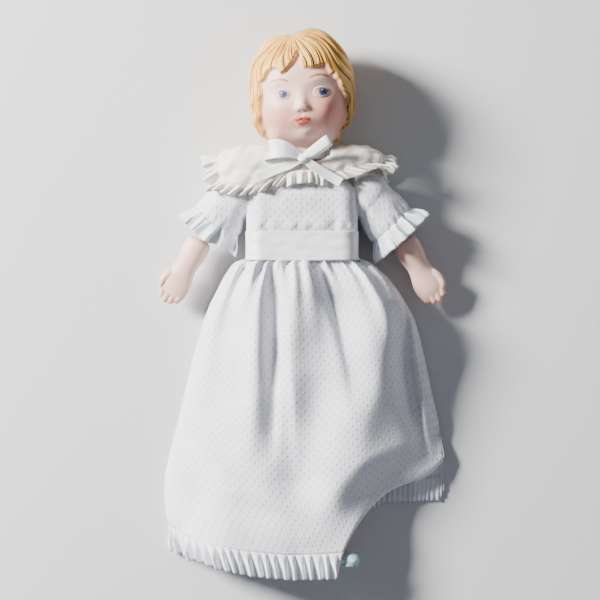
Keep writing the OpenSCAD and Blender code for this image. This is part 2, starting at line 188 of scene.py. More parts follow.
class Shape:
    """Points in mm, faces, and values at the points, gathered from several parts."""

    def __init__(self):
        self.points, self.faces, self.values, self.count = [], [], [], 0
        self.flat = None

    def grid(self, points, wrap_cols=False, wrap_rows=False, caps=False, flip=False, **values):
        rows, cols = points.shape[:2]
        if self.flat is None:
            ring = np.concatenate([points, points[:, :1]], 1) if wrap_cols else points
            self.flat = (np.linalg.norm(np.diff(ring, axis=1), axis=2).sum(1).mean(),
                         np.linalg.norm(np.diff(points, axis=0), axis=2).sum(0).mean())
        faces = quads(rows, cols, wrap_cols, wrap_rows)
        if flip:
            faces = faces[:, ::-1]
        self.points.append(points.reshape(-1, 3))
        self.faces += (faces + self.count).tolist()
        if caps:
            first = np.arange(cols)[::-1] if not flip else np.arange(cols)
            self.faces.append((first + self.count).tolist())
            self.faces.append((first[::-1] + self.count + (rows - 1) * cols).tolist())
        self.values.append({k: np.asarray(v, float).reshape(rows * cols, -1) for k, v in values.items()})
        self.count += rows * cols
        return self

    def mirror(self, side):
        """Makes the doll's right piece of its left one, where side is -1."""
        self.points = [mirrored(g, side) for g in self.points]
        if side < 0:
            self.faces = [f[::-1] for f in self.faces]

    def merged(self, key, width):
        return np.vstack([v.get(key, np.zeros((len(p), width))) for v, p in zip(self.values, self.points)])


def build(name, shape, material, slot, body=None, replaces=(), thick=0.0, out=0.0):
    """Makes a piece of the doll from a Shape, with its rest place in mm kept in the attribute place. A sheet of
    cloth is thick mm through: inside its points where out is -1, and evenly about them where it is 0."""
    points = np.vstack(shape.points)
    mesh = bpy.data.meshes.new(name)
    mesh.from_pydata((points * MM).tolist(), [], shape.faces)
    mesh.polygons.foreach_set("use_smooth", [True] * len(mesh.polygons))
    keys = {k: v.shape[1] for values in shape.values for k, v in values.items()}
    stored = {"place": points}
    stored.update({k: shape.merged(k, w) for k, w in keys.items()})
    for key, value in stored.items():
        kind = "FLOAT" if value.shape[1] == 1 else "FLOAT_VECTOR"
        if value.shape[1] == 2:
            value = np.hstack([value, np.zeros((len(value), 1))])
        field = mesh.attributes.new(key, kind, "POINT")
        field.data.foreach_set("value" if kind == "FLOAT" else "vector", value.astype(np.float32).ravel())
    mesh.update()
    obj = add_object(name, mesh)
    mesh.materials.append(material)
    if thick:
        layer = obj.modifiers.new("thickness", "SOLIDIFY")
        layer.thickness = thick * MM
        layer.offset = out
    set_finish(obj, slot)
    if body:
        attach(obj, body)
    if replaces:
        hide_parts(*replaces)
    return obj


def rings_of(path, half_w, half_t, up, n, power=1.0):
    """Rings round a path of points, with half widths and half thicknesses, as an array."""
    path = np.asarray(path, float)
    tangent = unit(np.gradient(path, axis=0))
    side = unit(np.cross(tangent, np.asarray(up, float)))
    top = np.cross(side, tangent)
    a = np.arange(n) * 2 * np.pi / n
    c, s = np.cos(a), np.sin(a)
    c, s = np.sign(c) * np.abs(c) ** power, np.sign(s) * np.abs(s) ** power
    half_w, half_t = (np.broadcast_to(np.asarray(h, float), len(path)) for h in (half_w, half_t))
    return (path[:, None] + half_w[:, None, None] * c[None, :, None] * side[:, None]
            + half_t[:, None, None] * s[None, :, None] * top[:, None])


def normals_of(points):
    """Unit normals of a grid of points."""
    return unit(np.cross(np.gradient(points, axis=1), np.gradient(points, axis=0)))


def gathered(rings, depth, count):
    """Gathers a tube into count small folds."""
    a = np.arange(rings.shape[1]) * 2 * np.pi / rings.shape[1]
    return rings + unit(rings - rings.mean(1, keepdims=True)) * (depth * np.sin(a * count))[None, :, None]


def evened(values, width):
    """Running average of values round a closed ring."""
    n = len(values)
    return np.convolve(np.tile(values, 3), np.ones(width) / width, "same")[n:2 * n]


# ---- Material helpers ----

class Paint:
    """A node material that is built up from sums on sockets."""

    def __init__(self, name):
        self.mat = bpy.data.materials.new(name)
        self.mat.use_nodes = True
        self.tree = self.mat.node_tree
        self.shader = self.tree.nodes["Principled BSDF"]
        self.place = self.attribute("place")

    def add(self, kind, inputs=(), **settings):
        new = self.tree.nodes.new("ShaderNode" + kind)
        for key, value in settings.items():
            setattr(new, key, value)
        for key, value in dict(inputs).items():
            if isinstance(value, bpy.types.NodeSocket):
                self.tree.links.new(value, new.inputs[key])
            else:
                new.inputs[key].default_value = value
        return new

    def attribute(self, name, output="Vector"):
        return self.add("Attribute", attribute_name=name).outputs[output]

    def split(self, vector):
        parts = self.add("SeparateXYZ", {0: vector})
        return parts.outputs[0], parts.outputs[1], parts.outputs[2]

    def sum(self, op, a, b=0.0, c=0.0, clamp=False):
        return self.add("Math", {0: a, 1: b, 2: c}, operation=op, use_clamp=clamp).outputs[0]

    def times(self, a, b, clamp=False):
        return self.sum("MULTIPLY", a, b, clamp=clamp)

    def step(self, value, low, high, to_low=0.0, to_high=1.0):
        return self.add("MapRange", {"Value": value, "From Min": low, "From Max": high, "To Min": to_low,
                                     "To Max": to_high}, interpolation_type="SMOOTHSTEP").outputs[0]

    def noise(self, scale, detail=2.0, vector=None):
        return self.add("TexNoise", {"Vector": vector or self.place, "Scale": scale,
                                     "Detail": detail}).outputs["Fac"]

    def mix(self, share, a, b):
        new = self.add("Mix", data_type="RGBA")
        for index, value in ((0, share), (6, a), (7, b)):
            if isinstance(value, bpy.types.NodeSocket):
                self.tree.links.new(value, new.inputs[index])
            else:
                new.inputs[index].default_value = value
        return new.outputs[2]

    def tint(self, color, mask, share, new):
        """Mixes share of a new colour into a colour, where mask is 1."""
        return self.mix(self.times(mask, share), color, new)

    def stretch(self, vector, scale):
        return self.add("VectorMath", {0: vector, 1: scale}, operation="MULTIPLY").outputs[0]

    def finish(self, color, roughness, height=None, depth=0.0, **constant):
        links = self.tree.links
        for name, value in (("Base Color", color), ("Roughness", roughness)):
            if isinstance(value, bpy.types.NodeSocket):
                links.new(value, self.shader.inputs[name])
            else:
                self.shader.inputs[name].default_value = value
        if height is not None:
            bump = self.add("Bump", {"Height": height, "Strength": 1.0, "Distance": depth * MM})
            links.new(bump.outputs[0], self.shader.inputs["Normal"])
        for name, value in constant.items():
            self.shader.inputs[name.replace("_", " ")].default_value = value
        return self.mat


def rgb(r, g, b):
    """A colour given as it looks on screen, 0 to 255, as the renderer's linear values."""
    return tuple((c / 255 / 12.92 if c / 255 < 0.04045 else ((c / 255 + 0.055) / 1.055) ** 2.4)
                 for c in (r, g, b)) + (1.0,)


def weave(p, coords, pitch):
    """Over-and-under threads, from the place on the cloth in mm."""
    x, y, _ = p.split(coords)
    k = 2 * math.pi / pitch
    a = p.sum("SINE", p.times(x, k))
    b = p.sum("SINE", p.times(y, k))
    return p.sum("MULTIPLY_ADD", p.times(a, b), 0.5, 0.5)


DOT_SPACING = 3.2  # the frock's dots, in mm


def cloth_material(name, light, dark, dots=0.0, pitch=0.3, fuzz=0.25, rough=0.9):
    """Plain-woven cotton, with raised dots where dots gives their darkness."""
    p = Paint(name)
    cloth = p.attribute("cloth")
    wide = p.noise(0.12, 3.0)
    close = p.noise(1.6, 2.0)
    threads = weave(p, cloth, pitch)
    color = p.mix(p.step(wide, 0.3, 0.7), light, dark)
    color = p.tint(color, p.step(close, 0.45, 0.75), 0.35, dark)
    height = p.sum("MULTIPLY_ADD", threads, 0.35, p.times(close, 0.8))
    if dots:
        x, y, _ = p.split(cloth)
        wobble = p.sum("MULTIPLY_ADD", p.noise(0.35, 1.0), 0.9, -0.45)
        x = p.sum("ADD", x, wobble)
        masks = []
        for shift in (0.0, 0.5):
            dx, dy = (p.sum("MULTIPLY_ADD", p.sum("FRACT", p.sum("MULTIPLY_ADD", k, 1 / DOT_SPACING, shift)),
                            DOT_SPACING, -DOT_SPACING / 2) for k in (x, y))
            far = p.sum("SQRT", p.sum("ADD", p.times(dx, dx),
                                      p.times(p.times(dy, 0.8), p.times(dy, 0.8))))
            masks.append(p.step(far, 0.22, 0.48, 1.0, 0.0))
        dot = p.sum("MAXIMUM", masks[0], masks[1])
        shown = p.step(p.noise(0.5, 1.0), 0.28, 0.6, 0.35, 1.0)
        color = p.tint(color, p.times(dot, dots), shown, rgb(176, 160, 172))
        height = p.sum("ADD", height, p.times(dot, 2.2))
    return p.finish(color, rough, height, 0.05, Sheen_Weight=fuzz, Sheen_Roughness=0.5,
                    Specular_IOR_Level=0.25)


def satin_material(name):
    p = Paint(name)
    cloth = p.attribute("cloth")
    _, y, _ = p.split(cloth)
    fine = p.noise(1.0, 3.0, p.stretch(cloth, (0.5, 9.0, 1.0)))
    ribs = p.sum("SINE", p.times(y, 2 * math.pi / 0.22))
    color = p.mix(p.step(p.noise(0.15, 2.0), 0.3, 0.7), rgb(247, 246, 244), rgb(238, 237, 238))
    color = p.tint(color, fine, 0.2, rgb(222, 221, 226))
    height = p.sum("MULTIPLY_ADD", ribs, 0.25, fine)
    return p.finish(color, p.step(fine, 0.3, 0.7, 0.3, 0.42), height, 0.02, Anisotropic=0.5,
                    Sheen_Weight=0.15, Specular_IOR_Level=0.5)


def thread_material():
    p = Paint("cotton_thread")
    x, y, z = p.split(p.add("TexCoord").outputs["Object"])
    twist = p.sum("SINE", p.times(p.sum("ADD", p.sum("ADD", x, y), z), 2 * math.pi / 0.0003))
    color = p.mix(p.step(twist, -0.6, 0.8), rgb(196, 188, 170), rgb(232, 227, 212))
    return p.finish(color, 0.85, twist, 0.05, Sheen_Weight=0.2)


def metal_material():
    p = Paint("snap_metal")
    marks = p.noise(900.0, 3.0, p.add("TexCoord").outputs["Object"])
    color = p.mix(p.step(marks, 0.4, 0.7), rgb(196, 198, 203), rgb(160, 162, 168))
    return p.finish(color, p.step(marks, 0.3, 0.7, 0.25, 0.42), marks, 0.01, Metallic=1.0)


swiss = cloth_material("dotted_swiss", rgb(232, 233, 238), rgb(222, 224, 233), dots=0.42)
frill_cloth = cloth_material("frill_cotton", rgb(238, 240, 245), rgb(226, 229, 238))
collar_cloth = cloth_material("collar_cotton", rgb(246, 243, 234), rgb(239, 234, 223), fuzz=0.3)
muslin = cloth_material("muslin", rgb(222, 211, 186), rgb(206, 192, 163), pitch=0.45)
satin = satin_material("satin_ribbon")
thread = thread_material()
snap_metal = metal_material()


def bisque(name, color_of, rough=0.46):
    """Unglazed porcelain, whose painted colours come from color_of(paint, skin)."""
    p = Paint(name)
    mottle = p.noise(0.16, 3.0)
    grain = p.noise(5.0, 2.0)
    skin = p.mix(p.step(mottle, 0.3, 0.72), rgb(242, 199, 184), rgb(235, 187, 172))
    color, rough_here = color_of(p, skin, rough)
    height = p.sum("MULTIPLY_ADD", mottle, 0.6, p.times(grain, 0.25))
    return p.finish(color, rough_here, height, 0.03, Specular_IOR_Level=0.38, Subsurface_Weight=0.08,
                    Subsurface_Scale=0.0015, Coat_Weight=0.04, Coat_Roughness=0.35)


def spot(p, x, y, cx, cy, rx, ry, soft=0.25):
    """1 inside an ellipse and 0 outside, with an edge about soft of its radius wide."""
    dx = p.sum("DIVIDE", p.sum("SUBTRACT", x, cx), rx)
    dy = p.sum("DIVIDE", p.sum("SUBTRACT", y, cy), ry)
    far = p.sum("SQRT", p.sum("ADD", p.times(dx, dx), p.times(dy, dy)))
    return p.step(far, 1 - soft, 1 + soft, 1.0, 0.0)


def arch(p, x, y, cx, cy, half, rise, width, soft=0.4):
    """1 on a thin arch whose middle is at (cx, cy), falling by rise over half its span."""
    dx = p.sum("DIVIDE", p.sum("SUBTRACT", x, cx), half)
    curve = p.sum("MULTIPLY_ADD", p.times(dx, dx), -rise, cy)
    off = p.sum("ABSOLUTE", p.sum("SUBTRACT", y, curve))
    ends = p.step(p.sum("ABSOLUTE", dx), 0.55, 1.0, 1.0, 0.0)
    wide = p.sum("MULTIPLY_ADD", ends, width * 0.8, width * 0.2)
    on = p.step(p.sum("DIVIDE", off, wide), 1 - soft, 1 + soft, 1.0, 0.0)
    return p.times(on, p.step(p.sum("ABSOLUTE", dx), 0.85, 1.0, 1.0, 0.0))


# ---- Skirt ----

LEFT_Y = [18.6, 16.8, 15.7, 14.2, 10.5, 5.2, 0, -6, -13, -21.7, -31, -41.5, -53, -64, -73, -81, -88, -110]
LEFT_X = [-20.1, -21.6, -25.0, -26.8, -29.3, -32.1, -34.8, -37.2, -39.2, -41.5, -43.7, -46.3, -49.2, -51.6, -51.9,
          -50.9, -47.8, -40]
RIGHT_Y = [18.6, 16.8, 15.7, 14.2, 10.5, 5.2, 0, -6, -13, -21.7, -31, -41.5, -53, -62, -75, -110]
RIGHT_X = [20.1, 21.8, 25.4, 27.6, 31.8, 35.9, 39.2, 42.4, 44.6, 46.6, 48.6, 51.0, 53.0, 54.2, 56, 58]
HEM_SHARE = [0, 0.12, 0.3, 0.45, 0.6, 0.75, 0.86, 0.95, 1]
HEM_Y = [-86, -89, -91, -92.4, -92.8, -91.4, -89.2, -86, -82.5]
TURN = rounded([(11.2, -108), (13.6, -98), (15.2, -92.2), (19, -84.8), (24.5, -77.2), (31, -71.2), (37, -67.9),
                (46.5, -64.6), (53, -58.5), (57.5, -50)], 400)
TURN_GAP = [0.7, 0.75, 0.8, 1.3, 2.2, 2.6, 2.6, 2.2, 1.4, 0.5]
TURN_TOP = [19.2, 19.3, 19.2, 17.6, 13.5, 10, 8.6, 7.2, 4.8, 1.6]
UNDER_SLOPE = 0.05
FRILL = 9.1  # depth of the hem's frill
WAIST_Y = 18.6  # the cloth starts under the sash
WAIST_HALF, WAIST_MID, WAIST_DEEP = 20.6, 11.5, 10.3  # the section under the sash


def sides_at(y):
    """The skirt's two sides, seen from above."""
    return np.interp(-y, [-k for k in LEFT_Y], LEFT_X), np.interp(-y, [-k for k in RIGHT_Y], RIGHT_X)


def plan(v, share):
    """Where cloth at v down the skirt and share across its front lies from above, before it is turned under."""
    end_y = np.interp(share, HEM_SHARE, HEM_Y)
    y = WAIST_Y + (end_y - WAIST_Y) * v
    left, right = sides_at(y)
    return right + (left - right) * share, y


def crease(x, y, ys, xs, amounts, left_w, right_w):
    """A fold that runs down the skirt: its height at each point, rising from each side in its own width."""
    order = np.argsort(ys)
    ys, xs, amounts = (np.asarray(k, float)[order] for k in (ys, xs, amounts))
    middle = np.interp(y, ys, xs)
    amount = np.interp(y, ys, amounts, left=0, right=0)
    d = x - middle
    return amount * np.where(d < 0, bell(d, left_w), bell(d, right_w))


# the stuffed body the dress lies on: its middle line and its half sizes
HIP = np.array(JOINTS["left_leg_spread"]["pos_m"]) / MM
ANKLE = np.array([12.5, -90.5, 7.2])
LEG = unit(ANKLE - HIP)
LEG_LEN = float(np.linalg.norm(ANKLE - HIP))
LEG_UP = unit(np.cross(np.cross(LEG, (0, 0, 1.0)), LEG))
GROOVE = LEG_LEN - 35
TORSO_PATH = [(0, 46.0, 11.3), (0, 43.5, 11.3), (0, 38, 11.2), (0, 34, 11.2), (0, 30, 11.5), (0, 22, 11.4),
              (0, 12, 11.3), (0, 4, 11.2), (0, 0, 10.4), (0, -2.6, 9.9)]
TORSO_WIDE = [5.8, 10.2, 11.9, 12.9, 15.4, 16.2, 16.5, 16.3, 15.4, 13.6]
TORSO_DEEP = [2.9, 4.9, 5.3, 5.5, 7.4, 8.3, 8.4, 7.9, 4.8, 1.2]
THIGH_AT = [0.5, 1.2, 3.0, 6.3, 14, GROOVE - 26, GROOVE - 10, GROOVE - 4.6, GROOVE - 2.6, GROOVE - 1.4, GROOVE + 0.9]
THIGH_R = [1.2, 3.2, 5.1, 6.2, 6.3, 6.1, 5.5, 4.9, 4.2, 3.5, 3.3]
# the shoes under the cloth: how far out, how high, and how far along and across they hold it up
FOOT_X, FOOT_TOP, FOOT_Y, FOOT_LONG, FOOT_WIDE, FOOT_FALL = 17.2, 19.2, -93, 11.0, 6.0, 1.2


def round_top(across):
    """Height over the middle of a round form, as a share of its radius. Past its side it falls away."""
    return np.sqrt(np.clip(1 - across**2, 0, 1)) - 1.7 * np.clip(np.abs(across) - 1, 0, None)


def body_top(x, y):
    """Height of the body's top under the skirt."""
    _, torso_y, torso_z = np.array(TORSO_PATH).T
    wide, deep, mid = (np.interp(-y, -torso_y, k, right=0) for k in (TORSO_WIDE, TORSO_DEEP, torso_z))
    top = np.where(y > -4, mid + deep * round_top(x / np.maximum(wide, 1)), 0)
    k = (y - HIP[1]) / LEG[1]
    r = np.interp(k, THIGH_AT, THIGH_R, left=0)
    for side in (1, -1):
        across = (x - side * (HIP[0] + LEG[0] * k)) / np.maximum(r, 1)
        thigh = HIP[2] + LEG[2] * k + r * round_top(across)
        top = np.maximum(top, np.where(k > THIGH_AT[0], thigh, 0))
        from_foot = np.clip(np.abs(x - side * FOOT_X) - (9 if side < 0 else 0), 0, None)
        top = np.maximum(top, FOOT_TOP - (from_foot / FOOT_WIDE) ** 2 * FOOT_FALL
                         - ((y - FOOT_Y) / FOOT_LONG) ** 2 * FOOT_FALL)
    return top


def lay_over(z, low, soft=1.6):
    """Lifts z smoothly to stay over low."""
    gap = low - z
    return z + np.where(gap > -soft, np.where(gap < soft, (gap + soft) ** 2 / (4 * soft), gap), 0)


def dome(x, y):
    """Height of the skirt's front over the surface it lies on."""
    left, right = sides_at(y)
    share = np.clip((right - x) / (right - left), 0, 1)
    round_it = np.sqrt(np.clip(1 - (1 - 2 * share) ** 2, 0, 1))
    top = 23.2 - 3.6 * smooth(y, 6, -30) + 1.2 * smooth(y, -58, -88)
    full = top * round_it ** (0.42 + 0.42 * smooth(y, 12, -50) + 0.34 * smooth(share, 0.6, 0.9) * smooth(y, 14, -12))
    # the legs lift the middle, and the cloth sinks between and beside them
    sink = (1.4 * smooth(y, 2, -30) * bell(x + 33, 12) + 2.4 * smooth(y, 2, -30) * bell(x - 42, 8)
            + 2.0 * smooth(y, -8, -36) * bell(x - 2, 9) * smooth(y, -92, -70))
    return full - sink * round_it


def waist_height(x, sign):
    """Height of the rounded section under the sash, front or back."""
    return WAIST_MID + sign * WAIST_DEEP * np.clip(1 - np.abs(x / WAIST_HALF) ** 7, 0, 1) ** 0.4


def skirt_front(v, share):
    """Front of the skirt: the cloth's place, for arrays of v and share."""
    x, y = plan(v, share)
    z = dome(x, y)
    # gathers at the sash
    rng = np.random.RandomState(5)
    phase = share * 2 * np.pi
    gather = np.zeros_like(x)
    for k, size in ((7, 1.25), (11, 1.35), (17, 0.55), (29, 0.3)):
        reach = rng.uniform(8, 14) * (10 / k)
        wave = np.cos(phase * k / 1.1 + rng.uniform(0, 6.28) + 1.2 * np.sin(share * rng.uniform(6, 11)))
        wave = np.where(wave < 0, -np.abs(wave) ** 0.8, np.abs(wave) ** 1.3)
        gather += size * wave * np.exp(-np.clip(16.6 - y, 0, None) / reach)
    gather *= smooth(y, 18.4, 15.6) * (0.35 + 0.65 * smooth(share, 0.0, 0.1) * smooth(share, 1.0, 0.9))
    z = z + gather + 1.1 * bell((y - 9.5) / 6.5, 1) * smooth(share, 0, 0.2) * smooth(share, 1, 0.8)
    # long folds: a valley down the middle with a ridge on each side, and a ridge to the doll's left whose far
    # side is steep
    z -= crease(x, y, [15, 8, -6, -29, -46, -60], [-8.6, -9.6, -10.0, -10.4, -10.8, -11.5],
                [1.4, 3.0, 3.6, 3.0, 1.6, 0], 3.4, 2.2)
    z += crease(x, y, [16, 6, -12, -36, -64], [-15.5, -16.5, -17.0, -18, -20], [0.4, 2.6, 3.5, 2.8, 0], 4.6, 4.2)
    z += crease(x, y, [14, 4, -12, -36, -66], [-4.8, -4.6, -4.2, -2.5, 0], [0.4, 2.4, 3.3, 2.7, 0], 3.2, 8.0)
    z -= crease(x, y, [13, 4, -14, -36, -56], [-23.5, -26, -28.5, -31, -33], [0.4, 1.8, 1.9, 1.0, 0], 5.0, 5.5)
    z -= crease(x, y, [16, 10, 2, -10, -26, -40], [7.2, 8.8, 11.2, 14.5, 18, 20], [1.8, 3.4, 4.0, 3.0, 1.6, 0],
                2.4, 6.5)
    z += crease(x, y, [15, 8, 1, -11.6, -26, -42, -60, -78], [19, 27, 33.5, 31.4, 27.3, 23, 18.7, 17.3],
                [0, 2.6, 5.6, 5.4, 4.6, 3.6, 2.4, 0], 12.5, 8.0)
    z -= crease(x, y, [7, 0, -20, -38, -54, -64], [36, 38, 39.4, 42.4, 46.0, 48], [0, 2.8, 4.2, 4.2, 2.2, 0],
                5.0, 1.8)
    z -= crease(x, y, [-26, -46, -66, -82], [7, 3, -3, -7], [0, 2.4, 2.4, 0], 11, 9)
    z += crease(x, y, [-50, -70, -90], [-27, -30, -31], [0, 1.8, 0.8], 8, 9)
    z -= crease(x, y, [-60, -72, -84], [-40, -37, -35], [0, 0.8, 0], 5, 6)
    # shallow folds that run across where the cloth sags between the legs
    z += 0.7 * bell((y + 76 + 0.25 * x) / 3.4, 1) * bell((x + 6) / 16, 1)
    z += 0.45 * ripple(stacked(x, y * 0.6), 11, 20) * smooth(y, 8, -20)
    # a soft roll where the front is sewn to its frill
    z -= 0.8 * smooth(v, 0.93, 1.0)
    from_side = np.minimum(x - sides_at(y)[0], sides_at(y)[1] - x)
    z = lay_over(z, (body_top(x, y) + 0.9) * smooth(from_side, 0.5, 3.0))
    at_waist = smooth(y, 13.5, 17.0)
    z = z * (1 - at_waist) + (waist_height(x, 1) + gather * 0.4) * at_waist
    return stacked(x, y, np.maximum(z, 0.9))


def turned(points, lift=0.0):
    """Turns the cloth past the line TURN under itself. UNDER_SLOPE lowers the part that lies underneath."""
    flat = points.reshape(-1, 3)
    tangent = unit(np.gradient(TURN, axis=0))
    outward = np.stack([-tangent[:, 1], tangent[:, 0]], 1) * -1
    near = np.empty(len(flat), int)
    for start in range(0, len(flat), 20000):
        part = flat[start:start + 20000, None, :2] - TURN[None]
        near[start:start + 20000] = (part**2).sum(-1).argmin(1)
    foot, out = TURN[near], outward[near]
    at = near / (len(TURN) - 1)
    knots = np.linspace(0, 1, len(TURN_GAP))
    radius, top = np.interp(at, knots, TURN_GAP), np.interp(at, knots, TURN_TOP)
    far = ((flat[:, :2] - foot) * out).sum(1)
    s = far + radius
    blend = smooth(-far, 0.0, 16.0)
    z = np.minimum(flat[:, 2], top * (1 - blend) + flat[:, 2] * blend)
    bend = np.clip(s / radius, 0, np.pi)
    past = np.clip(s - np.pi * radius, 0, None)
    over = s > 0
    reach = np.where(over, radius * np.sin(bend) - past, s)
    z = np.where(over, top - radius * (1 - np.cos(bend)) - past * UNDER_SLOPE, z)
    moved = foot + out * (reach - radius)[:, None]
    result = flat.copy()
    change = over | (far > -16)
    result[over, :2] = moved[over]
    result[change, 2] = z[change]
    result[:, 2] += np.ravel(np.broadcast_to(lift, points.shape[:2])) * np.cos(np.where(over, bend, 0))
    return result.reshape(points.shape)


def back_of_skirt(v, share):
    """Back of the skirt, flat on the surface, with its slack in low folds."""
    hem_share = [0, 0.03, 0.08, 0.3, 0.42, 0.6, 0.8, 1]
    hem_x = [53.6, 53.2, 51.6, 31, 18, -2, -28, -50.6]
    hem_y = [-58, -61, -64.4, -65.2, -73, -85, -87, -82.5]
    hx, hy = np.interp(share, hem_share, hem_x), np.interp(share, hem_share, hem_y)
    y = WAIST_Y + (hy - WAIST_Y) * v
    left, right = sides_at(y)
    last_left, last_right = sides_at(hy)
    hem = np.clip((last_right - hx) / (last_right - last_left), 0, 1)
    across = share * (1 - v) + hem * v
    x = right + (left - right) * across
    waves = 0.55 + 0.5 * ripple(stacked(x * 1.6, y * 0.35), 23, 15)
    rise = np.clip(waves, 0, 1.4) * smooth(v, 0.02, 0.2) * smooth(across, 0, 0.1) * smooth(across, 1, 0.9)
    at_waist = smooth(y, 13.5, 17.0)
    z = (0.35 + rise) * (1 - at_waist) + waist_height(x, -1) * at_waist
    return stacked(x, y, z)


def skirt_ring_points(v, shares_front, shares_back):
    """The whole skirt at rows v: over the front from the doll's left to its right, then across the back."""
    front = turned(skirt_front(*np.meshgrid(v, shares_front, indexing="ij")))
    back = back_of_skirt(*np.meshgrid(v, shares_back, indexing="ij"))
    return np.concatenate([front, back], axis=1)


def cloth_coords(points, wrap=True):
    """Flat coordinates on cloth: distance across from the middle of the front, and distance down."""
    step_across = np.linalg.norm(np.diff(points, axis=1), axis=2)
    start = points.shape[1] // 4 if wrap else points.shape[1] // 2
    across = np.concatenate([np.zeros((len(points), 1)), np.cumsum(step_across, axis=1)], 1)
    across -= across[:, start:start + 1]
    down = np.concatenate([np.zeros((1, points.shape[1])),
                           np.cumsum(np.linalg.norm(np.diff(points, axis=0), axis=2), axis=0)], 0)
    return stacked(across, down)


def cloth_shape(grid, wrap=True, **how):
    """A Shape of one grid of cloth, which meets itself across where wrap is true."""
    return Shape().grid(grid, wrap_cols=wrap, cloth=cloth_coords(grid, wrap), **how)


def even_cloth(points):
    """Flat coordinates on a closed sheet that pass over its small folds, so that its pattern keeps its shape."""
    raw = cloth_coords(points)
    rows, cols = points.shape[:2]
    wide = raw[:, -1, 0] - raw[:, 0, 0]
    share = ((raw[..., 0] - raw[:, :1, 0]) / wide[:, None])[rows // 3:].mean(0)
    v = np.linspace(0, 1, rows)
    wide = np.polyval(np.polyfit(v, wide, 3), v)
    long = raw[-1, :, 1]
    down_share = (raw[..., 1] / long).mean(1)
    long = evened(long, cols // 8 * 2 + 1)
    return stacked((share[None] - share[cols // 4]) * wide[:, None], down_share[:, None] * long[None])


front_shares = 0.5 - 0.5 * np.cos(np.linspace(0, np.pi, 300))
front_shares = 0.6 * front_shares + 0.4 * np.linspace(0, 1, 300)
back_shares = np.linspace(1, 0, 122)[1:-1]
skirt_rows = 0.45 * np.linspace(0, 1, 160) + 0.55 * np.linspace(0, 1, 160) ** 1.5
skirt_points = skirt_ring_points(skirt_rows, front_shares, back_shares)
skirt = build("skirt_cloth", Shape().grid(skirt_points, wrap_cols=True, cloth=even_cloth(skirt_points)),
              swiss, "dotted_swiss", replaces=("skirt",), thick=0.35, out=-1.0)


def pleats_along(edge, pitch, seed, uneven, per, box):
    """Where the points of a row of pleats lie along an edge: [place, bump, swing, lean] for each."""
    rng = np.random.RandomState(seed)
    length = np.linalg.norm(np.diff(edge, axis=0), axis=1).sum()
    count = max(3, int(round(length / pitch)))
    widths = 1 + uneven * rng.uniform(-1, 1, count)
    starts = np.r_[0, np.cumsum(widths)] / widths.sum() * length
    tall = 1 + 0.35 * rng.uniform(-1, 1, count)
    lean = 0.35 * rng.uniform(-1, 1, count)
    rows = []
    for k in range(count):
        for t in np.linspace(0, 1, per, endpoint=False):
            hump = math.sin(math.pi * t)
            hump = (1 - box) * hump**0.7 + box * float(smooth(hump, 0.12, 0.62))
            rows.append((starts[k] + t * (starts[k + 1] - starts[k]), hump * tall[k],
                         math.sin(2 * math.pi * t) * tall[k], lean[k]))
    rows.append((length, 0, 0, 0))
    return np.asarray(rows)


def pleated(edge, down, out, depth, pitch, height, seed, rows=9, uneven=0.25, per=10, fullness=0.8, slant=0.35,
            box=0.0):
    """A pleated frill below an edge, whose down and out directions are given at each point. Returns a grid
    of points without their pleats, how far out the pleats lift each point, and the out directions."""
    table = pleats_along(edge, pitch, seed, uneven, per, box)
    length = np.r_[0, np.cumsum(np.linalg.norm(np.diff(edge, axis=0), axis=1))]

    def at(values):
        return np.stack([np.interp(table[:, 0], length, values[:, k]) for k in range(3)], 1)

    base, d, o = at(edge), unit(at(down)), unit(at(out))
    along_edge = unit(np.gradient(base, axis=0))
    grid, lift = [], []
    for r in np.linspace(0, 1, rows):
        grow = float(smooth(r, -0.15, 0.75))
        slide = fullness * pitch * (0.27 * table[:, 2:3] * grow + slant * table[:, 3:4] * (r - 0.2) * grow)
        grid.append(base + d * (depth * r) + along_edge * slide)
        lift.append(height * (table[:, 1] - 0.25) * grow)
    return np.stack(grid), np.stack(lift), np.broadcast_to(o, (rows, len(o), 3))


# front frill of the hem, turned under with the skirt on the doll's left
hem_shares = np.linspace(0.0, 1.0, 400)
hem_edge = skirt_front(np.ones(400), hem_shares)
hem_before = skirt_front(np.full(400, 0.96), hem_shares)
hem_down = unit(hem_edge - hem_before) * (1, 1, 0.3) + (-0.06, 0, -0.12)
hem_out = unit(np.cross(np.gradient(hem_edge, axis=0), hem_down))
hem_out *= np.sign(hem_out[:, 2:3] + 1e-9)
frill_grid, frill_lift, frill_out = pleated(hem_edge, hem_down, hem_out, FRILL + 0.3, 3.4, 3.1, 3,
                                             rows=12, uneven=0.32, per=12, fullness=1.05, box=0.35)
front_turned = turned(frill_grid + frill_out * (frill_lift * np.sqrt(1 - frill_out[..., 2] ** 2))[..., None],
                      frill_lift * frill_out[..., 2])
front_turned[..., 2] = np.maximum(front_turned[..., 2], 0.2)
frill = cloth_shape(front_turned, False)
# back frill, with finer pleats
back_edge = back_of_skirt(np.ones(300), np.linspace(0.015, 0.99, 300))
back_down = np.broadcast_to((0.0, -1.0, 0.02), back_edge.shape)
back_out = np.broadcast_to((0.0, 0.0, 1.0), back_edge.shape)
back_grid, back_lift, _ = pleated(back_edge, back_down, back_out, FRILL, 1.9, 1.3, 8, rows=7, per=8, slant=0.2)
back_grid[..., 2] = np.maximum(back_grid[..., 2] + back_lift, 0.15)
frill.grid(back_grid, cloth=cloth_coords(back_grid, wrap=False))
hem_frill = build("hem_frill", frill, frill_cloth, "frill_cotton", replaces=("hem_ruffle",), thick=0.22)


# ---- Bodice and sash ----

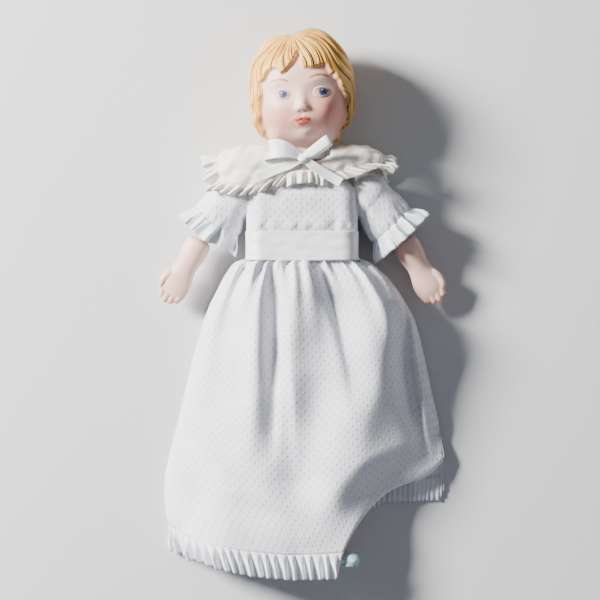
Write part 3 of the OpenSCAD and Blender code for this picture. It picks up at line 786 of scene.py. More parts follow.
bodice_low, bodice_high = corners("bodice")
CHEST_Z = (bodice_low[2] + bodice_high[2]) / 2
SHOULDER = np.array(JOINTS["left_arm_spread"]["pos_m"]) / MM
ELBOW = np.array(JOINTS["left_elbow"]["pos_m"]) / MM
ARMHOLE_R = 8.9


def box_ring(half_w, half_h, corner, n):
    """Points round a rounded box in x and z, starting at the middle of the front."""
    straight_w, straight_h = half_w - corner, half_h - corner
    lengths = [straight_w, corner * math.pi / 2, 2 * straight_h, corner * math.pi / 2, 2 * straight_w,
               corner * math.pi / 2, 2 * straight_h, corner * math.pi / 2, straight_w]
    ends = np.r_[0, np.cumsum(lengths)]
    at = np.arange(n) / n * ends[-1]
    x, z = np.zeros(n), np.zeros(n)
    for i, s in enumerate(at):
        k = int(np.searchsorted(ends, s, side="right") - 1)
        k = min(k, 8)
        t = s - ends[k]
        if k in (0, 4, 8):
            start, way = {0: (0, 1), 4: (straight_w, -1), 8: (-straight_w, 1)}[k]
            x[i], z[i] = start + way * t, half_h if k != 4 else -half_h
        elif k in (2, 6):
            x[i], z[i] = (half_w, straight_h - t) if k == 2 else (-half_w, -straight_h + t)
        else:
            a = {1: 90, 3: 0, 5: -90, 7: 180}[k] - math.degrees(t / corner)
            cx = straight_w if k in (1, 3) else -straight_w
            cz = straight_h if k in (1, 7) else -straight_h
            x[i], z[i] = cx + corner * math.cos(math.radians(a)), cz + corner * math.sin(math.radians(a))
    return x, z


def bodice_points(rows=70, n=320):
    x0, z0 = box_ring(20.3, 10.5, 6.0, n)
    v = np.linspace(0, 1, rows)[:, None]
    y = 17.0 + (50.5 - 17.0) * v
    narrow = smooth(y, 41, 51) * 7.6
    x = x0[None] * (1 - narrow / 20.3)
    z = CHEST_Z + z0[None] * (1 - 0.05 * smooth(y, 42, 51) - 0.05 * smooth(y, 28.5, 26.5))
    front = smooth(z0, 2, 9)[None]
    neck = front * smooth(v, 0.55, 1.0) * (5.6 * bell(x / 11.5, 1.0) + 1.0)
    y = np.broadcast_to(y, x.shape) - neck
    p = stacked(x, y, z)
    # soft fullness over the sash, a dart on each side and the neckline's gathers
    puff = 0.7 * smooth(y, 26, 31) * smooth(y, 46, 38) * bell(x / 17, 1.0) * front
    puff -= 0.5 * (bell(x - 12.5, 1.6) + bell(x + 12.5, 1.6)) * smooth(y, 36, 27) * front
    puff += 0.28 * ripple(stacked(x, y * 0.7), 31, 11) * front * smooth(y, 26.8, 30)
    puff += 0.35 * bell(y - 28.6, 1.3) * np.sin(x * 1.05 + 0.8 * np.sin(x * 0.4)) * front
    puff += 0.25 * np.sin(x * 2.1 + 0.6 * np.sin(x)) * smooth(y, 40, 45) * front * bell(x / 12, 1.0)
    p[..., 2] += puff * 0.85
    p[..., 2] = np.clip(p[..., 2], bodice_low[2] + 0.05, bodice_high[2] + 0.6)
    for side in (-1, 1):
        c = SHOULDER * (side, 1, 1)
        gap = p - c
        r = np.linalg.norm(gap, axis=-1)
        inside = r < ARMHOLE_R
        p[inside] = (c + unit(gap) * ARMHOLE_R)[inside]
    return p


bodice_grid = bodice_points()
ring_step = np.linalg.norm(np.diff(bodice_grid[20], axis=0), axis=1)
bodice_cloth = stacked(np.r_[0, np.cumsum(ring_step)][None], bodice_grid[..., 1])
build("bodice_cloth", Shape().grid(bodice_grid[:, ::-1], wrap_cols=True, cloth=bodice_cloth[:, ::-1]),
      swiss, "dotted_swiss", body="torso", replaces=("bodice",), thick=0.35, out=-1.0)

# placket down the back, as its two stitched edges
placket = Shape()
for x_at in (-1.7, 1.7):
    ys = np.linspace(18, 48.5, 60)
    xs = x_at + 0.15 * np.sin(ys * 0.5)
    side = np.linspace(-1, 1, 7)
    tape = stacked(xs[:, None] + 0.5 * side[None], ys[:, None], bodice_low[2] - 0.12 + 0.14 * side[None] ** 2)
    placket.grid(tape, cloth=tape[..., :2])
build("back_placket", placket, frill_cloth, "dotted_swiss", body="torso", thick=0.2)

sash_low, sash_high = corners("waist_sash")
sash_mid, sash_half = (sash_low[1] + sash_high[1]) / 2, (sash_high[1] - sash_low[1]) / 2


def sash_points(rows=26, n=360):
    x0, z0 = box_ring(20.9, (sash_high[2] - sash_low[2]) / 2, 6.4, n)
    v = np.linspace(-1, 1, rows)[:, None]
    mid_z = (sash_low[2] + sash_high[2]) / 2
    front = smooth(z0, 1, 8)[None]
    hollow = -0.22 * (1 - v**2) * front * bell(x0 / 19, 1.0)[None]
    droop = 0.5 * np.cos(x0 / 20 * np.pi / 2)[None] * front
    y = sash_mid - 0.6 + (sash_half + 0.25) * v - 0.7 * droop
    x = np.broadcast_to(x0[None], y.shape) * (1 - 0.006 * (1 - v**2))
    z = mid_z + z0[None] + hollow + 0.08 * ripple(stacked(x, y * 2.2), 41, 9) * front
    z = z + 0.10 * np.sin(v * 7 + x * 0.12) * front
    return stacked(x, y, np.maximum(z, 0.1))


sash_grid = sash_points()
build("sash_ribbon", cloth_shape(sash_grid), satin,
      "satin_ribbon", body="torso", replaces=("waist_sash",), thick=0.25)
# lapped end of the ribbon at the back
lap_x = np.linspace(-3, 3, 24)[None, :]
lap_y = np.linspace(sash_mid - sash_half + 0.5, sash_mid + sash_half - 0.5, 20)[:, None]
lap = stacked(lap_x, lap_y, 0.16 + 0.1 * smooth(lap_x, -3, -2))
build("sash_lap", Shape().grid(lap, cloth=lap[..., :2]), satin, "satin_ribbon", body="torso", thick=0.12)


# ---- Sleeves ----

DROOP = math.radians(6)
UPPER = unit(ELBOW - SHOULDER)


def drooped(p):
    """Lowers a point or grid about the shoulder, as the arms lie."""
    d = np.asarray(p, float) - SHOULDER
    c, s = math.cos(DROOP), math.sin(DROOP)
    return SHOULDER + stacked(d[..., 0], d[..., 1] * c - d[..., 2] * s, d[..., 1] * s + d[..., 2] * c)


UP_ANGLE = math.degrees(math.atan2(UPPER[1] / math.cos(DROOP), UPPER[0]))
SLEEVE_ROWS = 64
CAP_SHARE = 0.45  # the share of a sleeve's rows that is its rounded top
CAP_FROM, CAP_TO, CAP_R, CAP_ANGLE = -6.2, 3.0, 8.5, -14


def sleeve_grid(seed, length, n=160):
    """The sleeve from inside the armhole to its frill, for the doll's left."""
    rng = np.random.RandomState(seed)
    rows = []
    for t in np.linspace(0, 1, SLEEVE_ROWS):
        angle = CAP_ANGLE + (UP_ANGLE - CAP_ANGLE) * float(smooth(t, 0, 0.6))
        if t < CAP_SHARE:
            s = CAP_FROM + (CAP_TO - CAP_FROM) * t / CAP_SHARE
            half_w = half_t = math.sqrt(CAP_R**2 - s * s)
        else:
            u = (t - CAP_SHARE) / (1 - CAP_SHARE)
            s = CAP_TO + (length - CAP_TO) * u
            half_w = 7.95 + 1.2 * float(smooth(u, 0, 0.6)) - 0.3 * float(smooth(u, 0.8, 1))
            half_t = 7.95 - 0.5 * u - 0.3 * float(smooth(u, 0.8, 1))
        rows.append((math.radians(angle), s, half_w, half_t))
    a = np.arange(n) * 2 * np.pi / n - np.pi / 2
    grid = []
    for k, (angle, s, half_w, half_t) in enumerate(rows):
        d = np.array([math.cos(angle), math.sin(angle), 0])
        side = np.array([math.sin(angle), -math.cos(angle), 0])
        t = k / (SLEEVE_ROWS - 1)
        end = float(smooth(t, 0.72, 1.0))
        centre = SHOULDER + s * d + side * float(smooth(t, 0.45, 1.0))
        c, z = np.cos(a), np.sin(a)
        folds = 1 + 0.028 * end * np.sin(a * 19 + rng.uniform(0, 0.4)) + 0.02 * float(smooth(t, 0.45, 0.7)) * (
            np.sin(a * 5 + t * 6) + 0.6 * np.sin(a * 9 - t * 5))
        pit = 0.03 * bell(t - 0.42, 0.16) * (np.sin(a * 9 + 5 * t)) * smooth(c, -0.2, 0.8)
        f = (folds + pit)[:, None]
        grid.append(centre + side * (half_w * c)[:, None] * f + np.array([0, 0, 1]) * (half_t * z)[:, None] * f)
    return drooped(np.stack(grid))


def sleeve(side, seed, length, depth, drawn_up):
    name = side_name(side)
    grid = sleeve_grid(seed, length)
    ring = np.concatenate([grid[-1], grid[-1][:1]])
    down = drooped(SHOULDER + (UPPER[0], UPPER[1] / math.cos(DROOP), 0)) - SHOULDER
    centre = grid[-1].mean(0)
    out = unit(ring - centre)
    inner_way = drooped(SHOULDER + (UPPER[1], -UPPER[0], 0)) - SHOULDER
    flare = 0.10 + 0.42 * smooth(out @ unit(inner_way), 0.0, 1.0)[:, None]
    edge_down = np.broadcast_to(down, ring.shape) + flare * out
    frill_points, lift, outs = pleated(ring, edge_down, out, depth, 4.3, 2.5, seed + 50, uneven=0.2, per=14,
                                       fullness=1.35, slant=0.45, box=0.85)
    frill_points = frill_points + outs * lift[..., None]
    inner = unit(inner_way)

    def pulled(g):
        """Draws the sleeve up on the side of the body."""
        from_shoulder = g - SHOULDER
        share = smooth(from_shoulder @ inner, 0, 11) * smooth(from_shoulder @ down, 5, 13)
        return g - down * (drawn_up * share)[..., None]

    grid, frill_points = pulled(grid), pulled(frill_points)
    frill_points[..., 2] = np.maximum(frill_points[..., 2], 0.5)
    main = Shape().grid(mirrored(grid, side), wrap_cols=True, flip=side < 0, cloth=even_cloth(grid))
    build(f"{name}_sleeve_cloth", main, swiss, "dotted_swiss", body=f"{name}_upper_arm",
          replaces=(f"{name}_sleeve",), thick=0.3, out=-1.0)
    build(f"{name}_sleeve_frill", cloth_shape(mirrored(frill_points, side), False, flip=side < 0), frill_cloth,
          "frill_cotton", body=f"{name}_upper_arm", replaces=(f"{name}_sleeve_ruffle",), thick=0.22)


sleeve(1, 61, 13.6, 7.2, 0.0)
sleeve(-1, 71, 12.9, 7.2, 3.2)


# ---- Collar ----

def over_shoulder(x, q):
    """A point of the collar: x across, and q the distance along it, which is y up the front. Past the top of
    the shoulder it runs down the back."""
    x, q = np.broadcast_arrays(np.asarray(x, float), np.asarray(q, float))
    far = np.abs(x)
    top = np.interp(far, [0, 22.5, 27, 30.8, 34, 36.6, 40], [57.6, 57.3, 56.3, 54.4, 52.2, 50.0, 47.5])
    front = 23.0 - 4.5 * smooth(far, 22, 37)
    back = 0.45 + 6.0 * smooth(far, 23, 37)
    r = np.minimum(6.5, (front - back) / 2 - 0.3)
    quarter, straight = r * math.pi / 2, front - back - 2 * r
    a = top - r
    b = a + quarter
    c = b + straight
    d = c + quarter
    turn_1, turn_2 = (q - a) / r, (q - c) / r
    y = np.select([q < a, q < b, q < c, q < d], [q, a + r * np.sin(turn_1), top, top - r * (1 - np.cos(turn_2))],
                  top - r - (q - d))
    z = np.select([q < a, q < b, q < c, q < d],
                  [front, front - r * (1 - np.cos(turn_1)), front - r - (q - b), back + r - r * np.sin(turn_2)], back)
    return stacked(x, y, z)


def back_q(x, y):
    """q of the point on the collar's back at x and y."""
    high = over_shoulder(x, 51.0)
    steps = np.linspace(60, 110, 1000)
    line = over_shoulder(np.full(1000, x), steps)
    late = line[:, 2] < high[2] * 0.3
    return float(steps[late][np.abs(line[late, 1] - y).argmin()])


def lobe(side, inner, outer, seed, depth, pitch, height, uneven, stand):
    """Half of the collar and its ruffle. inner and outer are its neck edge and its seam, in x and q."""
    cols, rows = 220, 26
    a, b = rounded(inner, cols), rounded(outer, cols)
    v = np.linspace(0, 1, rows)[:, None, None]
    flat = a[None] * (1 - v) + b[None] * v
    lift = 0.3 * ripple(flat, seed, 7) + 0.42 * ripple(flat * (0.6, 1.0), seed + 3, 3.4) * v[..., 0] ** 0.7
    lift += 0.35 * np.sin(np.linspace(0, 60, cols) + 2 * np.sin(np.linspace(0, 17, cols)))[None] * v[..., 0] ** 2
    surface = over_shoulder(flat[..., 0], flat[..., 1])
    centre = np.array([0, 42, 11.5])
    normal = normals_of(surface)
    normal *= np.sign((normal * (surface - centre)).sum(-1, keepdims=True))
    crown = 0.9 * np.sin(v[..., 0] * math.pi) ** 0.7 + 0.35
    surface = surface + normal * (crown + lift)[..., None]
    surface[..., 2] = np.maximum(surface[..., 2], 0.45)
    edge = surface[-1] - normal[-1] * 0.12
    down = unit((surface[-1] - surface[-4]) * (1, 1, 0.35))
    out = normal[-1]
    points, up, outs = pleated(edge, down, out, depth, pitch, height, seed + 7, uneven=uneven, rows=12, per=12,
                               fullness=1.15, slant=0.3, box=0.3)
    grow = np.interp(np.linspace(0, 1, points.shape[1]), *stand)
    points = points + outs * (up * grow)[..., None]
    points[..., 2] = np.maximum(points[..., 2], 0.4)
    name = side_name(side)
    piece = build(f"{name}_collar_cloth", cloth_shape(surface, False, flip=side < 0), collar_cloth,
                  "collar_cotton", replaces=(f"{name}_collar",), thick=0.5)
    ruffle = build(f"{name}_collar_frill", cloth_shape(points, False, flip=side < 0), collar_cloth,
                   "collar_cotton", replaces=(f"{name}_collar_ruffle",), thick=0.3)
    return piece, ruffle


def both(points, back_points):
    """A line of the collar in x and q, from its front part in x and q and its back part in x and y."""
    return points + [(x, back_q(x, y)) for x, y in back_points]


right_lobe = lobe(
    -1,
    both([(-0.6, 50.8), (-4.0, 51.8), (-7.2, 53.4), (-9.3, 56.5)],
         [(-8.4, 55.2), (-6.0, 52.0), (-3.2, 50.4), (-0.8, 49.8)]),
    both([(-0.4, 48.8), (-4.5, 48.0), (-9.0, 46.2), (-15.5, 44.2), (-21.4, 43.6), (-26.8, 44.6), (-30.2, 47.0)],
         [(-30.2, 47.8), (-27.5, 43.6), (-20, 41.2), (-12, 40.6), (-5, 40.4), (-0.8, 40.4)]),
    81, 5.9, 3.3, 2.2, 0.34, ([0, 0.05, 0.5, 1], [0.7, 1.0, 1.0, 0.35]))
left_lobe = lobe(
    1,
    both([(0.2, 50.8), (3.0, 51.4), (6.4, 52.2), (9.4, 54.0), (10.6, 56.5)],
         [(9.4, 55.2), (6.4, 52.0), (3.2, 50.4), (0.8, 49.8)]),
    both([(-0.8, 48.4), (3.6, 48.8), (10.0, 48.4), (16.0, 49.2), (21.6, 50.9), (27.0, 51.6), (29.6, 52.6)],
         [(29.4, 49.4), (26.5, 44.2), (20, 41.2), (12, 40.6), (5, 40.4), (0.8, 40.4)]),
    91, 5.4, 3.1, 2.3, 0.24, ([0, 0.08, 0.2, 0.5, 0.55, 1], [0.6, 0.8, 1.5, 1.5, 0.6, 0.3]))


def seen_path(points, count=60):
    """A smooth path through points given by their place in the view and their height."""
    return rounded([placed(*p) for p in points], count)


throat_line = seen_path([(-5.6, 48.6, 24.9), (-3.2, 49.6, 25.2), (0.4, 50.0, 25.5), (4.0, 50.0, 25.3),
                         (7.0, 49.2, 25.1), (9.6, 48.4, 24.8)])
throat, throat_lift, throat_out = pleated(
    throat_line, np.tile((0, -1, -0.28), (60, 1)), np.tile((0, 0, 1.0), (60, 1)), 4.9, 2.9, 1.9, 97, rows=12,
    uneven=0.6, per=12, fullness=1.2, slant=0.3)
build("throat_frill", cloth_shape(throat + throat_out * throat_lift[..., None], False), collar_cloth,
      "collar_cotton", body="torso", thick=0.3)


# ---- Neck ribbon and bow ----

RIBBON_COLS = 9


def strip(path, across, width, cup):
    """A ribbon along a path: across gives the way across it at each point, and cup its hollow."""
    path, across = np.asarray(path, float), unit(across)
    tangent = unit(np.gradient(path, axis=0))
    across = unit(across - (across * tangent).sum(-1, keepdims=True) * tangent)
    normal = np.cross(tangent, across)
    width, cup = np.broadcast_to(width, len(path)), np.broadcast_to(cup, len(path))
    s = np.linspace(-1, 1, RIBBON_COLS)
    return (path[:, None] + across[:, None] * (s[None, :, None] * width[:, None, None] / 2)
            + normal[:, None] * (cup[:, None, None] * (1 - s[None, :, None] ** 2)))


def strip_cloth(grid):
    """Flat coordinates on a ribbon: distance along its middle, and distance from it."""
    mid = RIBBON_COLS // 2
    down = np.concatenate([[0], np.cumsum(np.linalg.norm(np.diff(grid[:, mid], axis=0), axis=1))])
    side = np.linalg.norm(grid - grid[:, mid:mid + 1], axis=2) * np.sign(np.arange(RIBBON_COLS) - mid)
    return stacked(np.broadcast_to(down[:, None], side.shape), side)


neck_low, neck_high = corners("neck_ribbon")
NECK = np.array([(neck_low[0] + neck_high[0]) / 2, 55.6, (neck_low[2] + neck_high[2]) / 2])
NECK_R, NECK_RIBBON_HALF = 7.3, 1.75
KNOT = placed(0.3, 54.6, 26.4)
turn = np.linspace(0, 2 * np.pi, 121)[:-1] + np.pi / 2
ring_path = NECK + stacked(NECK_R * np.cos(turn), -0.54 * np.sin(turn), NECK_R * np.sin(turn))
ring_cols = np.linspace(-1, 1, 11)
neck_grid = (ring_path[None] + ring_cols[:, None, None] * np.array([0, NECK_RIBBON_HALF, 0])
             + (unit(ring_path - NECK) * (0.18 * np.cos(turn * 5 + 1))[:, None])[None])
neck_cloth = stacked(np.linspace(0, 46, 120)[None], ring_cols[:, None] * NECK_RIBBON_HALF)
build("neck_ribbon_band", Shape().grid(neck_grid, wrap_cols=True, cloth=neck_cloth), satin, "satin_ribbon",
      body="torso", replaces=("neck_ribbon",), thick=0.3)

bow = Shape()


def add_ribbon(path, across, at, widths, cup):
    """Adds a length of ribbon to the bow, with its widths at a few shares of its length."""
    grid = strip(path, np.broadcast_to(across, path.shape), np.interp(np.linspace(0, 1, len(path)), at, widths), cup)
    bow.grid(grid, cloth=strip_cloth(grid))


# loop on the right of the view, standing up over the jaw; its two sides lie one over the other
upper = seen_path([(0.6, 54.9, 26.6), (3.6, 56.9, 29.0), (6.8, 59.2, 32.4), (9.3, 61.0, 34.3), (10.1, 61.4, 33.4),
                   (9.4, 60.2, 31.2), (6.4, 57.6, 28.2), (3.4, 55.6, 26.6), (0.8, 54.2, 26.0)], 90)
add_ribbon(upper, (-0.52, 0.75, 0.1), [0, 0.12, 0.4, 0.6, 0.88, 1], [2.0, 3.3, 3.8, 3.8, 3.2, 2.0], cup=0.35)
# loop on the left of the view, wide and flat towards the collar
wide = seen_path([(0.2, 54.8, 26.6), (-3.2, 56.6, 28.4), (-7.0, 57.8, 29.4), (-10.6, 58.0, 28.4), (-12.6, 57.2, 26.0),
                  (-11.4, 56.0, 24.6), (-7.2, 55.0, 24.9), (-3.2, 54.3, 25.4), (0.0, 54.0, 26.0)], 90)
add_ribbon(wide, (0.12, 0.98, 0.1), [0, 0.1, 0.35, 0.6, 0.9, 1], [2.4, 4.0, 7.0, 7.0, 4.0, 2.2], cup=0.6)
# tails
for path, widths in (
        ([(0.7, 54.2, 26.8), (4.2, 51.6, 26.4), (8.6, 48.8, 25.4), (12.4, 46.6, 25.0), (14.6, 45.3, 25.3)],
         [2.2, 3.3, 3.4, 3.4, 3.5]),
        ([(-0.2, 54.1, 26.5), (-4.2, 52.2, 26.2), (-9.6, 50.2, 25.3), (-14.2, 48.2, 24.9), (-17.2, 46.8, 25.0)],
         [2.2, 3.3, 3.4, 3.4, 3.5])):
    line = seen_path(path)
    add_ribbon(line, np.cross(unit(np.gradient(line, axis=0)), (0, 0, 1.0)), np.linspace(0, 1, 5), widths, cup=0.18)
# knot: ribbon wrapped once round
around = np.linspace(0, 2 * np.pi, 61)[:-1]
centre_line = KNOT + np.array([0.15, -0.2, 0.1])
wrap = []
for s in np.linspace(-1, 1, 13):
    pinch = 1 - 0.16 * s * s
    tall = 1.35 * pinch + 0.12 * np.cos(3 * around)[:, None]
    wrap.append(centre_line + np.array([0.80, 0.60, 0]) * 1.75 * s
                + (np.cos(around)[:, None] * np.array([-0.60, 0.80, 0]) * 1.55 * pinch)
                + (np.sin(around)[:, None] * np.array([0, 0, 1.0]) * tall))
bow.grid(np.stack(wrap), wrap_cols=True,
         cloth=stacked(np.linspace(0, 9, 60)[None], np.linspace(-1.7, 1.7, 13)[:, None]))
build("neck_bow_ribbon", bow, satin, "satin_ribbon", body="torso", replaces=("neck_bow",), thick=0.28)


# ---- Porcelain head ----

HEAD_AT, HEAD_Z, LEAN = (0.5, 81.0), 19.35, math.radians(3.5)
HAIR = 1.6  # how far the moulded hair stands out
OUTLINE = [(-3, 19.7), (-6.2, 19.9), (-10, 19.3), (-13.9, 16.6), (-16.8, 13), (-18.8, 9.4), (-19.9, 5.2),
           (-20.4, -1.7), (-20.5, -6), (-19.9, -7.1), (-19.7, -12.4), (-17.9, -15.2), (-16, -18), (-12.9, -20.3),
           (-8.1, -21.6), (-3.4, -22.5), (0.8, -22.9), (5.2, -22.0), (9, -21.1), (11.7, -19.7), (14, -16.6),
           (16.3, -14.1), (18.1, -10.5), (18.8, -4.1), (18.7, 2.9), (17.7, 8.3), (15.8, 12.7), (12.9, 16.6),
           (8.8, 20), (4.6, 21.4), (0.3, 20.8)]
FACE = [(-13.4, -20.7), (-15, -14.9), (-16.1, -11.6), (-15.7, -6.8), (-15, -2), (-15.5, 2.3), (-14, 3.2),
        (-12.3, 6.2), (-10.6, 7.4), (-9.2, 7.0), (-8.0, 5.2), (-6.6, 5.8), (-5.2, 7.2), (-3.6, 8.8), (-1.9, 11.9),
        (-1, 12.7), (-0.2, 11), (-0.6, 8.4), (0.5, 7.1), (3.7, 6.8), (6.2, 7.4), (8.0, 7.6), (9.0, 6.0), (10.2, 4.4),
        (11.0, 4.6), (11.7, 2.6), (12.6, 1.6), (13.2, -0.6), (14.0, -2.4), (14.7, -6), (14.8, -10.3),
        (13.6, -14.5), (11.2, -18), (10.2, -21.4), (9.0, -26), (-12.6, -26)]
HEAD_FRONT, HEAD_BACK = 16.9, 17.2  # depth of the head before and behind HEAD_Z
LOCKS = 27  # how many locks go round the head


def on_head(x, y):
    """From the head's own upright place to its place in the view."""
    c, s = math.cos(LEAN), math.sin(LEAN)
    return HEAD_AT[0] + x * c - y * s, HEAD_AT[1] + x * s + y * c


def head_place(p):
    """The upright place on the head that each point shows at."""
    seen = pictured(p) - HEAD_AT
    c, s = math.cos(LEAN), math.sin(LEAN)
    return seen[..., 0] * c + seen[..., 1] * s, -seen[..., 0] * s + seen[..., 1] * c


def edge_distance(x, y, outline):
    """Distance to a closed outline, negative inside it."""
    a = np.asarray(outline, float)
    b = np.roll(a, -1, 0)
    shape = x.shape
    q = np.stack([x.ravel(), y.ravel()], 1)
    best, inside = np.full(len(q), 1e9), np.zeros(len(q), bool)
    for p0, p1 in zip(a, b):
        edge = p1 - p0
        t = np.clip(((q - p0) @ edge) / (edge @ edge), 0, 1)
        best = np.minimum(best, np.linalg.norm(q - p0 - t[:, None] * edge, axis=1))
        crosses = (p0[1] > q[:, 1]) != (p1[1] > q[:, 1])
        at = p0[0] + (q[:, 1] - p0[1]) / (edge[1] if edge[1] else 1e-9) * edge[0]
        inside ^= crosses & (q[:, 0] < at)
    return (np.where(inside, -best, best)).reshape(shape)


def radius_of(outline, middle, angles):
    """How far a closed outline is from a middle, in each direction."""
    curve = rounded(outline, 720, closed=True) - middle
    at = np.unwrap(np.arctan2(curve[:, 1], curve[:, 0]))
    if at[-1] < at[0]:
        at, curve = at[::-1], curve[::-1]
    far = np.linalg.norm(curve, axis=1)
    turn_at = np.concatenate([at - 2 * np.pi, at, at + 2 * np.pi])
    order = np.argsort(turn_at)
    return np.interp(angles, turn_at[order], np.tile(far, 3)[order])


def face_relief(x, y):
    """How far the face stands out from the plain head, at upright places on it."""
    m = x + 0.8
    relief = np.zeros_like(x)
    for ex, ey in ((-8.1, -2.3), (6.7, -2.2)):
        dx, dy = x - ex, y - ey
        relief -= 0.85 * bell(dx / 4.6, 1) * bell((dy - 0.3) / 3.1, 1)
        relief += 0.9 * np.clip(1 - (dx / 3.3) ** 2 - (dy / 2.2) ** 2, 0, 1) ** 0.9
        relief += 0.2 * bell(dy - 1.9 + 0.12 * dx * dx, 0.42) * smooth(np.abs(dx), 3.4, 2.2)
        relief += 0.07 * bell(dy + 1.75 - 0.09 * dx * dx, 0.36) * smooth(np.abs(dx), 3.2, 2.0)
        relief += 0.45 * bell(dy - 5.4 + 0.05 * dx * dx, 1.6) * bell(dx, 4.4)
    for cx, size in ((-10.0, 1.0), (8.6, 1.05)):
        relief += 1.25 * size * bell((x - cx) / 5.2, 1) * bell((y + 10.2) / 5.6, 1)
    # nose: bridge, ball and wings
    ridge = np.interp(y, [-9.6, -8.9, -8.1, -7.1, -5.6, -3.2, 0.0, 4.0], [0, 0.7, 1.6, 2.05, 1.45, 0.65, 0.3, 0])
    relief += ridge * bell(m / np.interp(y, [-8.5, -6.5, -3, 1, 3], [2.15, 2.15, 2.0, 2.4, 2.7]), 1)
    for wing in (-1.75, 1.75):
        relief += 0.5 * bell((m - wing) / 1.05, 1) * bell((y + 7.9) / 1.0, 1)
        relief -= 0.3 * bell((m - wing * 0.62) / 0.48, 1) * bell((y + 9.05) / 0.36, 1)
    # mouth: the rise round it, lips, the line between them and the groove over them
    lip = x + 1.15
    relief += 0.8 * bell(lip / 4.8, 1) * bell((y + 12.4) / 3.4, 1)
    line = -12.4 + 0.26 * np.cos(lip * 1.9) * bell(lip, 2.2) + 0.035 * lip * lip
    relief += 0.5 * bell(y - line - 0.85 + 0.08 * lip * lip, 0.75) * bell(lip / 3.0, 1)
    relief += 0.55 * bell(y - line + 0.95 - 0.10 * lip * lip, 0.80) * bell(lip / 2.5, 1)
    relief -= 0.3 * bell(y - line, 0.3) * smooth(np.abs(lip), 3.6, 2.8)
    relief -= 0.10 * bell(np.abs(lip) - 3.3, 0.5) * bell(y - line, 0.6)
    relief -= 0.28 * bell(lip / 0.62, 1) * bell((y + 10.3) / 0.9, 1)
    relief -= 0.3 * bell(lip / 3.4, 1) * bell((y + 15.3) / 0.9, 1)
    # chin, with the fullness under it
    relief += 1.35 * bell((x + 0.7) / 3.7, 1) * bell((y + 18.4) / 2.6, 1)
    return relief


def hair_relief(p):
    """Locks of the moulded hair, from points on the head: how far they stand out, how deep in a groove, and where the
    fine strands run; groove and strands also place the hair's painted shade and painted highlight.
    """
    centre = np.array([HEAD_AT[0] - 0.8, HEAD_AT[1] - 0.5, HEAD_Z])
    pole = placed(*on_head(-3.4, 18.8), 27.0)
    axis = unit(pole - centre)
    front = unit(np.array([0, 0, 1.0]) - axis * axis[2])
    side = np.cross(axis, front)
    d = unit(p - centre)
    tau = np.arccos(np.clip(d @ axis, -1, 1))
    beta = np.arctan2(d @ side, d @ front)
    x, y = head_place(p)
    low = smooth(y, 3, -8)
    swing = (0.10 * np.sin(tau * 5.0 + 2 * beta) * smooth(tau, 0.2, 0.9)
             + 0.07 * low * np.sin(y * 0.75 + 3 * np.sin(beta * 3)))
    swing += 0.22 * smooth(x, -2, 8) * smooth(tau, 0.1, 1.0) * (p[..., 2] > HEAD_Z - 4) * bell(tau - 0.8, 0.8)
    b = beta + swing
    b = b + 0.075 * np.sin(b * 7 + 1) + 0.05 * np.sin(b * 13 + 2.2) + 0.02 * np.sin(b * 23 + tau * 3)
    locks = LOCKS * b / (2 * np.pi)
    cell = np.abs(np.sin(np.pi * locks))
    ridge = cell**0.55
    strands = 0.5 + 0.5 * np.sin(2 * np.pi * locks * 3 + 1.2 * np.sin(tau * 7))
    close = smooth(tau, 0.05, 0.35)
    number = np.floor(locks)
    tall = 0.8 + 0.35 * np.sin(number * 2.4) * np.sin(number * 1.3 + 1)
    height = (1.1 * (ridge - 0.72) * tall + 0.2 * (strands - 0.5)) * close
    height += 0.22 * np.sin(y * 0.9 + number * 1.7) * low
    groove = (1 - smooth(cell, 0.05, 0.7)) * close
    groove = np.clip(groove + 0.28 * (1 - strands) * close, 0, 1)
    return height, groove, strands


PSI, PHI = 440, 300
psi = np.arange(PSI) * 2 * np.pi / PSI
phi = np.linspace(0.0015, np.pi - 0.0015, PHI)[:, None]
middle = np.array([-0.6, -1.2])
far = radius_of(OUTLINE, middle, psi)
inset = np.where(middle[1] + far * np.sin(psi) < -19.5, 0.15, HAIR)
far = far - evened(inset, 15)
soft_far = far
for _ in range(3):
    soft_far = evened(soft_far, 61)


def rim_of(reach):
    seen = np.stack(on_head(middle[0] + reach * np.cos(psi), middle[1] + reach * np.sin(psi)), -1)
    return placed(seen[:, 0], seen[:, 1], HEAD_Z)[:, :2]


ring, soft_ring = rim_of(far), rim_of(soft_far)
hub = placed(*on_head(*middle), HEAD_Z)[:2]
rho = np.sin(phi)
down_share = smooth(-np.sin(psi), 0.0, 0.95)[None]
front_power = 2.15 + 0.75 * down_share
back_power = 2.35 - 0.2 * down_share
is_front = np.cos(phi) > 0
power = np.where(is_front, front_power, back_power)
depth_share = np.sqrt(np.clip(1 - rho**power, 0, 1)) * np.where(is_front, 1, -1)
head = np.empty((PHI, PSI, 3))
to_rim = soft_ring[None] - hub + (ring - soft_ring)[None] * smooth(rho, 0.7, 1.0)[..., None]
head[..., :2] = hub + to_rim * rho[..., None]
head[..., 2] = HEAD_Z + depth_share * np.where(is_front, HEAD_FRONT, HEAD_BACK)
HEAD_HALF = np.array([19.0, 21.0, 17.5])  # half sizes of a plain form like the head, which gives the way out of it
out_way = unit((head - (hub[0], hub[1], HEAD_Z)) / HEAD_HALF**2)
hx, hy = head_place(head)
to_line = edge_distance(hx, hy, FACE)
behind = head[..., 2] < HEAD_Z - 0.5
nape = smooth(hy, -21.2, -19.0)
hairline = np.where(behind, np.where(hy > -20.4, 3.0, -2.0), to_line)
hair_share = smooth(to_line, -0.25, 0.55)
below = smooth(head[..., 2], HEAD_Z + 1, HEAD_Z - 2)
hair_share = np.where(head[..., 2] < HEAD_Z + 1, np.maximum(hair_share, below), hair_share) * nape
lock, groove, strands = hair_relief(head)
edge_round = smooth(to_line, 0.0, 1.6)
edge_round = np.where(behind, 1.0, edge_round)
